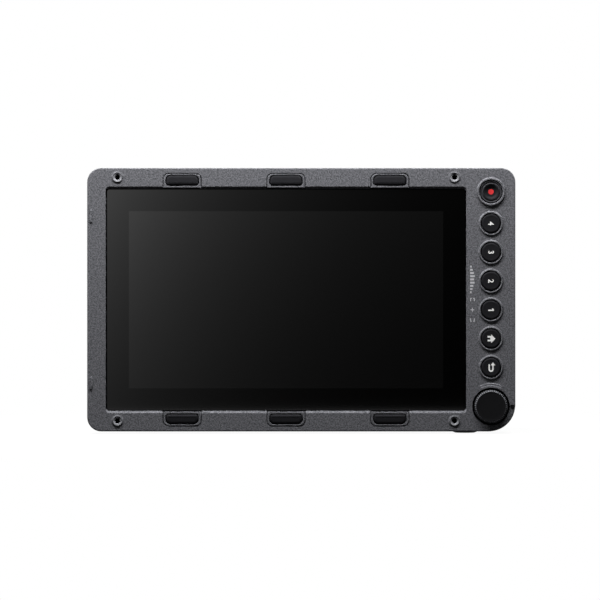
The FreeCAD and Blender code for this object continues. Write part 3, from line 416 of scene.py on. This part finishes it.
def seenDirectly(owner):
    # one for rays from the camera, and for those that metal or glass sends on
    rays = addNode(owner, "ShaderNodeLightPath").outputs
    seen = rays["Is Camera Ray"]
    for kind in ("Is Glossy Ray", "Is Transmission Ray"):
        either = addNode(owner, "ShaderNodeMath", operation="MAXIMUM", links={0: seen, 1: rays[kind]})
        seen = either.outputs[0]
    return seen


def studioWorld():
    # a white room to the eye, whose faint fill comes mostly from the upper left in front
    room = {"from": (-0.35, -0.4, 0.85), "least": 0.004, "most": 0.04, "seen": 1.0}
    world = clearNodes(bpy.data.worlds.new("studio"))
    bpy.context.scene.world = world
    ways = addNode(world, "ShaderNodeTexCoord").outputs["Generated"]
    facing = addNode(world, "ShaderNodeVectorMath", operation="DOT_PRODUCT", links={0: ways},
                     values={1: room["from"]})
    fill = addNode(world, "ShaderNodeMapRange", links={"Value": facing.outputs["Value"]},
                   values={"From Min": -1.0, "To Min": room["least"], "To Max": room["most"]})
    strength = addNode(world, "ShaderNodeMapRange", values={"To Max": room["seen"]},
                       links={"Value": seenDirectly(world), "To Min": fill.outputs[0]})
    sky = addNode(world, "ShaderNodeBackground", links={"Strength": strength.outputs[0]},
                  values={"Color": (1, 1, 1, 1)})
    addNode(world, "ShaderNodeOutputWorld", links={"Surface": sky.outputs[0]})


def softBox(name, place, aim, width, height, watts):
    bpy.ops.object.light_add(type="AREA", location=place)
    lamp = bpy.context.object
    lamp.name = name
    lamp.rotation_euler = (Vector(aim) - Vector(place)).to_track_quat("-Z", "Y").to_euler()
    lamp.data.shape = "RECTANGLE"
    lamp.data.size, lamp.data.size_y = width, height
    lamp.data.energy = watts
    lamp.visible_camera = False


lamps = {
    "stripAbove": {"place": (-0.08, -0.122, 0.41), "aim": (-0.08, -0.03, 0.06), "width": 0.64,
                   "height": 0.05, "watts": 5.4},
    "backFill": {"place": (0.4, 0.8, 0.6), "aim": (0, 0, 0.06), "width": 0.6, "height": 0.6, "watts": 7.0},
}


def studioFloor():
    # pale sweep: white to the camera, with the object's soft shadow kept close round it
    sweep = {"size": 6.0, "shadowShare": 0.06, "fadeFrom": 0.13, "fadeTo": 0.3, "albedo": 0.9, "bounce": 0.02}
    startPiece()
    bpy.ops.mesh.primitive_plane_add(size=sweep["size"], location=(0, 0, cadBox[0].z))
    floor = bpy.context.object
    floor.name = "studioFloor"
    paint = clearNodes(bpy.data.materials.new("paleSweep"))
    glow = addNode(paint, "ShaderNodeEmission", values={"Color": (1, 1, 1, 1), "Strength": 1.0})
    place = addNode(paint, "ShaderNodeTexCoord").outputs["Object"]
    away = addNode(paint, "ShaderNodeVectorMath", operation="LENGTH", links={0: place})
    fade = addNode(paint, "ShaderNodeMapRange", links={"Value": away.outputs["Value"]},
                   values={"From Min": sweep["fadeFrom"], "From Max": sweep["fadeTo"],
                           "To Min": 1 - sweep["shadowShare"], "To Max": 1.0})
    seen = seenDirectly(paint)
    pale = addNode(paint, "ShaderNodeMapRange", links={"Value": seen},
                   values={"To Min": sweep["bounce"], "To Max": sweep["albedo"]})
    matte = addNode(paint, "ShaderNodeBsdfDiffuse", links={"Color": pale.outputs[0]})
    share = addNode(paint, "ShaderNodeMath", operation="MULTIPLY", links={0: seen, 1: fade.outputs[0]})
    mixed = addNode(paint, "ShaderNodeMixShader",
                    links={0: share.outputs[0], 1: matte.outputs[0], 2: glow.outputs[0]})
    addNode(paint, "ShaderNodeOutputMaterial", links={"Surface": mixed.outputs[0]})
    floor.data.materials.append(paint)


def gradientCard():
    # a card in front, out of the camera's sight, that the glass mirrors: brightest at the upper left,
    # and fading to the right and downwards
    card = {"y": -0.35, "width": 1.2, "height": 0.7, "brightX": -0.109, "brightZ": 0.124,
            "fadeX": 0.059, "fadeZ": 0.097, "most": 1.3}
    startPiece()
    bpy.ops.mesh.primitive_plane_add(size=1, rotation=(math.pi / 2, 0, 0))
    sheet = bpy.context.object
    sheet.name = "gradientCard"
    sheet.scale = (card["width"], card["height"], 1)
    sheet.location = (0, card["y"], cadBox[0].z + card["height"] / 2)
    bpy.ops.object.transform_apply(location=True, rotation=True, scale=True)
    sheet.visible_camera = False
    sheet.visible_diffuse = False
    sheet.visible_shadow = False
    paint = clearNodes(bpy.data.materials.new("gradientCard"))
    place = addNode(paint, "ShaderNodeTexCoord").outputs["Object"]
    centred = addNode(paint, "ShaderNodeMapping", links={"Vector": place},
                      values={"Location": (-card["brightX"], 0, -card["brightZ"])})
    fall = addNode(paint, "ShaderNodeVectorMath", operation="DOT_PRODUCT",
                   links={0: centred.outputs["Vector"]},
                   values={1: (-1 / card["fadeX"], 0, 1 / card["fadeZ"])})
    level = addNode(paint, "ShaderNodeMath", operation="EXPONENT", links={0: fall.outputs["Value"]})
    capped = addNode(paint, "ShaderNodeMath", operation="MINIMUM", links={0: level.outputs[0]},
                     values={1: card["most"]})
    glow = addNode(paint, "ShaderNodeEmission", links={"Strength": capped.outputs[0]})
    addNode(paint, "ShaderNodeOutputMaterial", links={"Surface": glow.outputs[0]})
    sheet.data.materials.append(paint)


photoCamera()
studioWorld()
for lampName, lamp in lamps.items():
    softBox(lampName, **lamp)
studioFloor()
gradientCard()
print("camera, lamps and floor set")


# front buttons

def slope(fromRadius, toRadius, fromDepth, toDepth, steps):
    # points of a soft S between two levels
    points = []
    for i in range(steps + 1):
        share = i / steps
        ease = share * share * (3 - 2 * share)
        radius = fromRadius + (toRadius - fromRadius) * share
        points.append((radius, fromDepth + (toDepth - fromDepth) * ease))
    return points


def roundEdge(radius, width, face, drop, steps):
    # points of a quarter ellipse from the face to the side
    points = []
    for i in range(steps + 1):
        angle = math.pi / 2 * i / steps
        points.append((radius - width + width * math.sin(angle), face + drop * (1 - math.cos(angle))))
    return points


def buttonCap(node):
    shape = {"flangeOverhang": 1.35, "edgeWidth": 0.75, "edgeDrop": 0.5, "faceSink": 0.05, "sinkFrom": 3.2,
             "sinkTo": 3.75, "dishDepth": 0.75, "dishFrom": 2.2, "dishTo": 3.9, "crest": 4.05,
             "grooveAt": 4.5, "groove": 0.3, "lip": 5.25, "lipDrop": 0.25, "stemLength": 2.6, "flange": 0.8,
             "stemRadius": 1.6}
    turns, steps = 96, 7
    low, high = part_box(node)
    centre = (low + high) / 2
    flangeRadius = (high.x - low.x) / 2
    radius = flangeRadius - shape["flangeOverhang"] * mm
    face, back = low.y, high.y
    if node == "rec_button":
        # a bowl for the finger, a crest round it, and a paler ring that rises from its groove to the edge
        sink = shape["dishDepth"] * mm
        profile = [(0, face + sink)]
        profile += slope(shape["dishFrom"] * mm, shape["dishTo"] * mm, face + sink, face, steps)
        groove = face + shape["groove"] * mm
        profile += slope(shape["crest"] * mm, shape["grooveAt"] * mm, face, groove, steps)
        profile += [(shape["lip"] * mm, face), (radius, face + shape["lipDrop"] * mm)]
    else:
        sink = shape["faceSink"] * mm
        profile = [(0, face + sink)]
        profile += slope(shape["sinkFrom"] * mm, shape["sinkTo"] * mm, face + sink, face, steps)
        profile += roundEdge(radius, shape["edgeWidth"] * mm, face, shape["edgeDrop"] * mm, steps)
    flangeBack = back - shape["stemLength"] * mm
    flangeFront = flangeBack - shape["flange"] * mm
    stem = shape["stemRadius"] * mm
    profile += [(radius, flangeFront), (flangeRadius, flangeFront), (flangeRadius, flangeBack),
                (stem, flangeBack), (stem, back), (0, back)]
    cap = turnProfile(profile, centre.x, centre.z, turns)
    finishPiece(cap, node + "_cap", node, finishes["black_abs"], [node])
    if node == "rec_button":
        crest = shape["crest"] * mm - touch
        cap.data.materials.append(ringPlastic)
        selectIn(cap, "polygons", lambda corners: all(axisDistance(c, centre) > crest for c in corners))
        cap.active_material_index = 1
        bpy.ops.object.material_slot_assign()
        bpy.ops.object.mode_set(mode="OBJECT")
    return Vector((centre.x, face + sink, centre.z))


frontButtons = [name for name in nodes if name.endswith("_button") or name.startswith("user_button")]
frontButtons.remove("power_button")
buttonFaces = {name: buttonCap(name) for name in frontButtons}
print("button caps:", len(buttonFaces))


# prints on the buttons and the frame: every front print is turned a quarter, so that its top is at the right

ink = {"thickness": 0.05, "proud": 0.03, "digitHeight": 2.75, "digitWeight": 0.016, "digitDepth": 0.01}


def finishPrint(pieces, name, body, material, out=(0, -1, 0), thickness=ink["thickness"]):
    # flat outlines become one piece, which gets its thickness and its material
    pick(pieces[0])
    for piece in pieces[1:]:
        piece.select_set(True)
    bpy.ops.object.join()
    piece = bpy.context.object
    bpy.ops.object.mode_set(mode="EDIT")
    bpy.ops.mesh.select_all(action="SELECT")
    inward = Vector(out) * -thickness * mm
    bpy.ops.mesh.extrude_region_move(TRANSFORM_OT_translate={"value": inward})
    bpy.ops.mesh.select_all(action="SELECT")
    bpy.ops.mesh.normals_make_consistent(inside=False)
    bpy.ops.object.mode_set(mode="OBJECT")
    return finishPiece(piece, name, body, material)


def outline(points, centre, right=(0, 0, -1), up=(1, 0, 0), out=(0, -1, 0), proud=ink["proud"]):
    # one vertex walks round an outline of (right, up) points in millimetres, which is then filled
    base = centre + Vector(out) * proud * mm
    spots = [base + (Vector(right) * along + Vector(up) * above) * mm for along, above in points]
    startPiece()
    bpy.ops.mesh.primitive_plane_add(size=mm, location=spots[0])
    bpy.ops.object.transform_apply(location=True)
    bpy.ops.object.mode_set(mode="EDIT")
    bpy.ops.mesh.select_mode(type="VERT")
    bpy.ops.mesh.select_all(action="SELECT")
    bpy.ops.mesh.merge(type="CENTER")
    for spot, nextSpot in zip(spots, spots[1:]):
        bpy.ops.mesh.extrude_region_move(TRANSFORM_OT_translate={"value": nextSpot - spot})
    bpy.ops.mesh.select_all(action="SELECT")
    bpy.ops.mesh.edge_face_add()
    bpy.ops.object.mode_set(mode="OBJECT")
    return bpy.context.object


def arc(right, up, radius, fromDegrees, toDegrees, steps=14):
    points = []
    for i in range(steps + 1):
        angle = math.radians(fromDegrees + (toDegrees - fromDegrees) * i / steps)
        points.append((right + radius * math.cos(angle), up + radius * math.sin(angle)))
    return points


def bar(left, right, low, high):
    return [(left, low), (right, low), (right, high), (left, high)]


def digitPrint(digit, node):
    centre = buttonFaces[node]
    startPiece()
    bpy.ops.object.text_add()
    text = bpy.context.object
    text.data.body = digit
    text.data.align_x, text.data.align_y = "CENTER", "CENTER"
    text.data.offset = ink["digitWeight"]
    text.data.extrude = ink["digitDepth"]
    bpy.ops.object.convert(target="MESH")
    piece = bpy.context.object
    size = ink["digitHeight"] * mm / piece.dimensions.y
    piece.scale = (size, size, ink["thickness"] * mm / piece.dimensions.z)
    bpy.ops.object.transform_apply(scale=True)
    bpy.ops.object.origin_set(type="ORIGIN_GEOMETRY", center="BOUNDS")
    piece.rotation_euler = (math.pi / 2, math.pi / 2, 0)
    piece.location = centre + Vector((0, (ink["thickness"] / 2 - ink["proud"]) * mm, 0))
    return finishPiece(piece, "digit_" + digit, node, whiteInk)


for digit in "234":
    digitPrint(digit, "user_button_" + digit)

# the other signs are drawn from points in millimetres about the button's centre
one = [(-0.1, -1.4), (0.5, -1.4), (0.5, 1.4), (-0.02, 1.4), (-0.72, 0.98), (-0.72, 0.36), (-0.1, 0.7)]
finishPrint([outline(one, buttonFaces["user_button_1"])], "digit_1", "user_button_1", whiteInk)

dot = {"radius": 1.35, "corners": 45}
circle = arc(0, 0, dot["radius"], 0, 360 - 360 / dot["corners"], dot["corners"] - 1)
finishPrint([outline(circle, buttonFaces["rec_button"])], "record_dot", "rec_button", redInk)

house = [(-1.35, -1.75), (-0.5, -1.75), (-0.5, -0.4), (0.5, -0.4), (0.5, -1.75), (1.35, -1.75), (1.35, 0.07),
         (2.15, 0.07), (0, 2.1), (-2.15, 0.07), (-1.35, 0.07)]
finishPrint([outline(house, buttonFaces["home_button"])], "home_mark", "home_button", whiteInk)

bend = {"right": 0.88, "outer": 1.3, "inner": 0.56}
arrow = [(-2.6, 0.95), (-1.05, 2.05), (-1.05, bend["outer"])]
arrow += arc(bend["right"], 0, bend["outer"], 90, -90)
arrow += [(-1.6, -bend["outer"]), (-1.6, -bend["inner"])]
arrow += arc(bend["right"], 0, bend["inner"], -90, 90)
arrow += [(-1.05, bend["inner"]), (-1.05, -0.2)]
finishPrint([outline(arrow, buttonFaces["back_button"])], "back_mark", "back_button", whiteInk)

# two plain marks beside the window: a row of level bars and a framing mark
sideMarks = {"x": 84.7, "high": 2.3, "barsFrom": 82.1, "barWidth": 0.95, "barPitch": 1.59,
             "barShares": (0.35, 0.55, 0.8, 1.0, 0.85, 0.95, 0.7, 0.5, 0.3), "frameFrom": 66.1,
             "frameLong": 11.7, "line": 0.42, "corner": 1.6, "armShare": 0.72, "plusShare": 0.8}


def levelBars():
    start = Vector((sideMarks["x"] * mm, frontY, sideMarks["barsFrom"] * mm))
    foot = -sideMarks["high"] / 2
    bars = []
    for i, share in enumerate(sideMarks["barShares"]):
        left, top = i * sideMarks["barPitch"], foot + sideMarks["high"] * share
        bars.append(outline(bar(left, left + sideMarks["barWidth"], foot, top), start))
    finishPrint(bars, "level_bars", "monitor_body", greyInk)


def framingMark():
    # four corners round a plus
    start = Vector((sideMarks["x"] * mm, frontY, sideMarks["frameFrom"] * mm))
    half, line, corner = sideMarks["high"] / 2, sideMarks["line"], sideMarks["corner"]
    arm = half * sideMarks["armShare"]
    bracket = [(0, 0), (corner, 0), (corner, line), (line, line), (line, arm), (0, arm)]
    strokes = []
    for edge, side in ((0, 1), (sideMarks["frameLong"], -1)):
        for level in (-1, 1):
            points = [(edge + side * along, level * (half - above)) for along, above in bracket]
            strokes.append(outline(points, start))
    middle, thin, reach = sideMarks["frameLong"] / 2, line / 2, half * sideMarks["plusShare"]
    plus = []
    for cosine, sine in ((1, 0), (0, 1), (-1, 0), (0, -1)):
        for along, above in ((thin, -thin), (reach, -thin), (reach, thin)):
            plus.append((middle + along * cosine - above * sine, along * sine + above * cosine))
    strokes.append(outline(plus, start))
    finishPrint(strokes, "framing_mark", "monitor_body", greyInk)


levelBars()
framingMark()

# a short ridge above and below on the left edge
ridge = {"x": -104.1, "fromEnd": 23.9, "long": 6.6, "wide": 1.6, "height": 0.45, "slope": 0.44, "root": 0.1,
         "endSteps": 10, "slopeSteps": 2}


def sideRidge(name, z):
    radius = ridge["wide"] / 2
    straight = ridge["long"] / 2 - radius
    pill = arc(straight, 0, radius, -90, 90, ridge["endSteps"])
    pill += arc(-straight, 0, radius, 90, 270, ridge["endSteps"])
    spot = Vector((ridge["x"] * mm, frontY, z))
    piece = finishPrint([outline(pill, spot, proud=ridge["height"])], name, "monitor_body",
                        finishes["coated_metal"], thickness=ridge["height"] + ridge["root"])
    front = frontY - ridge["height"] * mm
    selectIn(piece, "edges", lambda corners: all(c.y < front + touch for c in corners))
    bpy.ops.mesh.bevel(offset=ridge["slope"] * mm, segments=ridge["slopeSteps"], affect="EDGES")
    bpy.ops.object.mode_set(mode="OBJECT")


sideRidge("side_ridge_lower", bezelLow.z + ridge["fromEnd"] * mm)
sideRidge("side_ridge_upper", bezelHigh.z - ridge["fromEnd"] * mm)

# the flat step round the lower right of the wheel, where the thumb lies
ledge = {"drop": 0.65, "depth": 2.7, "wellRadius": 9.37, "wellSteps": 40, "cornerRadius": 13.0,
         "cornerSteps": 30, "inset": 0.06, "overlap": 4, "edge": 0.3, "edgeSteps": 2}


def thumbLedge():
    wheelLow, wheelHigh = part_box("jog_wheel")
    axis = (wheelLow + wheelHigh) / 2
    axis.y = frontY
    inward = ledge["cornerRadius"] * mm
    corner = Vector((bezelHigh.x - inward, frontY, bezelLow.z + inward))
    away = (corner - axis) / mm
    rim = ledge["cornerRadius"] - ledge["inset"]
    step = arc(away.x, away.z, rim, -90, 0, ledge["cornerSteps"])
    step += arc(0, 0, ledge["wellRadius"], ledge["overlap"], -90 - ledge["overlap"], ledge["wellSteps"])
    flat = outline(step, axis, right=(1, 0, 0), up=(0, 0, 1), proud=-ledge["drop"])
    piece = finishPrint([flat], "thumb_ledge", "monitor_body", finishes["coated_metal"],
                        thickness=ledge["depth"] - ledge["drop"])
    front, edge = frontY + ledge["drop"] * mm + touch, rim * mm - touch
    selectIn(piece, "edges", lambda ends: all(c.y < front and axisDistance(c, corner) > edge for c in ends))
    bpy.ops.mesh.bevel(offset=ledge["edge"] * mm, segments=ledge["edgeSteps"], affect="EDGES")
    bpy.ops.object.mode_set(mode="OBJECT")


thumbLedge()

# a shallow seat in the mouth of each of the four holes for a hood, in a paler copy of the coat: a painted
# highlight
seat = {"apartX": 166.8, "apartZ": 120.56, "rise": 0.32, "bossHeight": 0.4, "mouth": 2.17, "hole": 1.28,
        "drop": 0.38, "foot": 0.86, "turns": 40, "coat": ("#6a6b6e", "#95959a")}


def screwSeats():
    low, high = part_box("cover_glass")
    middle = (low + high) / 2
    middle.z += seat["rise"] * mm
    face = frontY - seat["bossHeight"] * mm
    mouth, hole = seat["mouth"] * mm, seat["hole"] * mm
    cone = [(mouth, face), (hole, face + seat["drop"] * mm), (hole, face + seat["foot"] * mm), (mouth, face)]
    first = turnProfile(cone, middle.x, middle.z, seat["turns"])
    # painted highlight: the seats get a paler copy of the powder coat
    paleHighlight = powderCoat("highlightPowderCoat", *seat["coat"])
    for level, height in (("lower", -1), ("upper", 1)):
        for side, across in (("left", -1), ("right", 1)):
            pick(first)
            bpy.ops.object.duplicate()
            piece = bpy.context.object
            piece.location = (across * seat["apartX"] * mm / 2, 0, height * seat["apartZ"] * mm / 2)
            finishPiece(piece, "screw_seat_" + level + "_" + side, "monitor_body", paleHighlight)
    pick(first)
    bpy.ops.object.delete()


screwSeats()

# the sign for on and standby under the power button: an open ring, and a stroke in its gap
powerSign = {"outer": 1.95, "inner": 1.4, "from": 125, "to": 415, "steps": 36, "half": 0.28, "foot": 0.35,
             "top": 2.15}


def powerMark():
    low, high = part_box("power_button")
    face = (low + high) / 2
    face.z = low.z
    under = {"right": (1, 0, 0), "up": (0, -1, 0), "out": (0, 0, -1)}
    ring = arc(0, 0, powerSign["outer"], powerSign["from"], powerSign["to"], powerSign["steps"])
    ring += arc(0, 0, powerSign["inner"], powerSign["to"], powerSign["from"], powerSign["steps"])
    stroke = bar(-powerSign["half"], powerSign["half"], powerSign["foot"], powerSign["top"])
    finishPrint([outline(ring, face, **under), outline(stroke, face, **under)], "power_mark", "power_key",
                whiteInk, under["out"])


powerMark()
print("prints, ridges, ledge and screw seats set")


# rubber bumpers

bumper = {"outerRadius": 2.4, "innerRadius": 1.3, "cornerSteps": 8, "edge": 1.15, "edgeDepth": 0.35,
          "edgeSteps": 6, "faceInset": 0.4, "lean": 3.5, "smooth": 40}


def rubberBumper(node):
    low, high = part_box(node)
    centre, size = (low + high) / 2, high - low
    away = 1 if centre.z > middleZ else -1      # the wide corners are on the side away from the screen
    startPiece()
    bpy.ops.mesh.primitive_plane_add(size=1, rotation=(math.pi / 2, 0, 0))
    piece = bpy.context.object
    piece.scale = (size.x, size.z, 1)
    piece.location = (centre.x, high.y, centre.z)
    bpy.ops.object.transform_apply(location=True, rotation=True, scale=True)
    for side, radius in ((away, bumper["outerRadius"]), (-away, bumper["innerRadius"])):
        edgeZ = centre.z + side * size.z / 2
        selectIn(piece, "vertices", lambda corners: abs(corners[0].z - edgeZ) < touch)
        bpy.ops.mesh.bevel(offset=radius * mm, segments=bumper["cornerSteps"], affect="VERTICES")
    bpy.ops.mesh.select_all(action="SELECT")
    bpy.ops.mesh.extrude_region_move(TRANSFORM_OT_translate={"value": (0, -size.y, 0)})
    bpy.ops.mesh.select_all(action="SELECT")
    bpy.ops.mesh.normals_make_consistent(inside=False)
    selectIn(piece, "edges", lambda corners: all(c.y < low.y + touch for c in corners))
    bpy.ops.mesh.bevel(offset=bumper["edge"] * mm, segments=bumper["edgeSteps"], affect="EDGES")
    selectIn(piece, "polygons", lambda corners: all(c.y < low.y + touch for c in corners))
    bpy.ops.mesh.inset(thickness=bumper["faceInset"] * mm)
    bpy.ops.object.mode_set(mode="OBJECT")
    edgeDepth = bumper["edge"] * mm + touch
    if away > 0:
        # the upper pads have a shallow upper edge, which grows to the full round at half height
        for vertex in piece.data.vertices:
            above = min(max((vertex.co.z - centre.z) / (size.z / 2), 0), 1)
            depth = vertex.co.y - low.y
            if depth < edgeDepth:
                vertex.co.y = low.y + depth * (1 - above * (1 - bumper["edgeDepth"] / bumper["edge"]))
    # the face leans away from the screen
    selectIn(piece, "vertices", lambda corners: corners[0].y < low.y + edgeDepth)
    hinge = (centre.x, low.y, centre.z + away * size.z / 2)
    lean = away * math.radians(bumper["lean"])
    bpy.ops.transform.rotate(value=lean, orient_axis="X", center_override=hinge)
    bpy.ops.object.mode_set(mode="OBJECT")
    finishPiece(piece, node + "_pad", "monitor_body", finishes["black_rubber"], [node],
                bumper["smooth"])


for nodeName in [name for name in nodes if name.startswith("rubber_bumper")]:
    rubberBumper(nodeName)
print("bumpers shaped")


# jog wheel

wheel = {"faceSink": 0.1, "sinkFrom": 6.2, "sinkTo": 7.1, "sinkSteps": 6, "lip": 7.4, "lipDrop": 0.03,
         "toothTop": 7.58, "toothDrop": 0.3, "shoulder": 8.25, "shoulderDrop": 1.4, "bevel": 1.9,
         "footBevel": 0.4, "wall": 2.0, "shaftEntry": 2.2, "shaftRadius": 3.02, "grooveFrom": 7.63,
         "grooveShare": 0.1}


def knurledWheel():
    low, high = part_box("jog_wheel")
    centre = (low + high) / 2
    radius = (high.x - low.x) / 2
    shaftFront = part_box("encoder_shaft")[0].y
    roof = shaftFront + wheel["shaftEntry"] * mm
    face, foot = low.y, high.y
    inner = radius - wheel["wall"] * mm
    dish = face + wheel["faceSink"] * mm
    profile = [(0, dish)]
    profile += slope(wheel["sinkFrom"] * mm, wheel["sinkTo"] * mm, dish, face, wheel["sinkSteps"])
    profile += [(wheel["lip"] * mm, face + wheel["lipDrop"] * mm),
                (wheel["toothTop"] * mm, face + wheel["toothDrop"] * mm),
                (wheel["shoulder"] * mm, face + wheel["shoulderDrop"] * mm),
                (radius, face + wheel["bevel"] * mm), (radius, foot - wheel["footBevel"] * mm),
                (radius - wheel["footBevel"] * mm, foot), (inner, foot), (inner, roof),
                (wheel["shaftRadius"] * mm, roof), (wheel["shaftRadius"] * mm, shaftFront), (0, shaftFront)]
    piece = turnProfile(profile, centre.x, centre.z, knurl["teeth"] * knurl["perTooth"])
    pitch = 2 * math.pi / knurl["teeth"]

    def inGroove(corners):
        away = corners[0] - centre
        turn = (math.atan2(away.z, away.x) / pitch) % 1
        outside = axisDistance(corners[0], centre) > wheel["grooveFrom"] * mm
        return outside and min(turn, 1 - turn) < wheel["grooveShare"]

    selectIn(piece, "vertices", inGroove)
    shrink = 1 - knurl["depth"] * mm / radius
    bpy.ops.transform.resize(value=(shrink, 1, shrink), center_override=(centre.x, centre.y, centre.z))
    bpy.ops.object.mode_set(mode="OBJECT")
    finishPiece(piece, "knurled_wheel", "jog_turn", finishes["black_anodised"],
                ["jog_wheel"])


knurledWheel()
print("jog wheel cut")
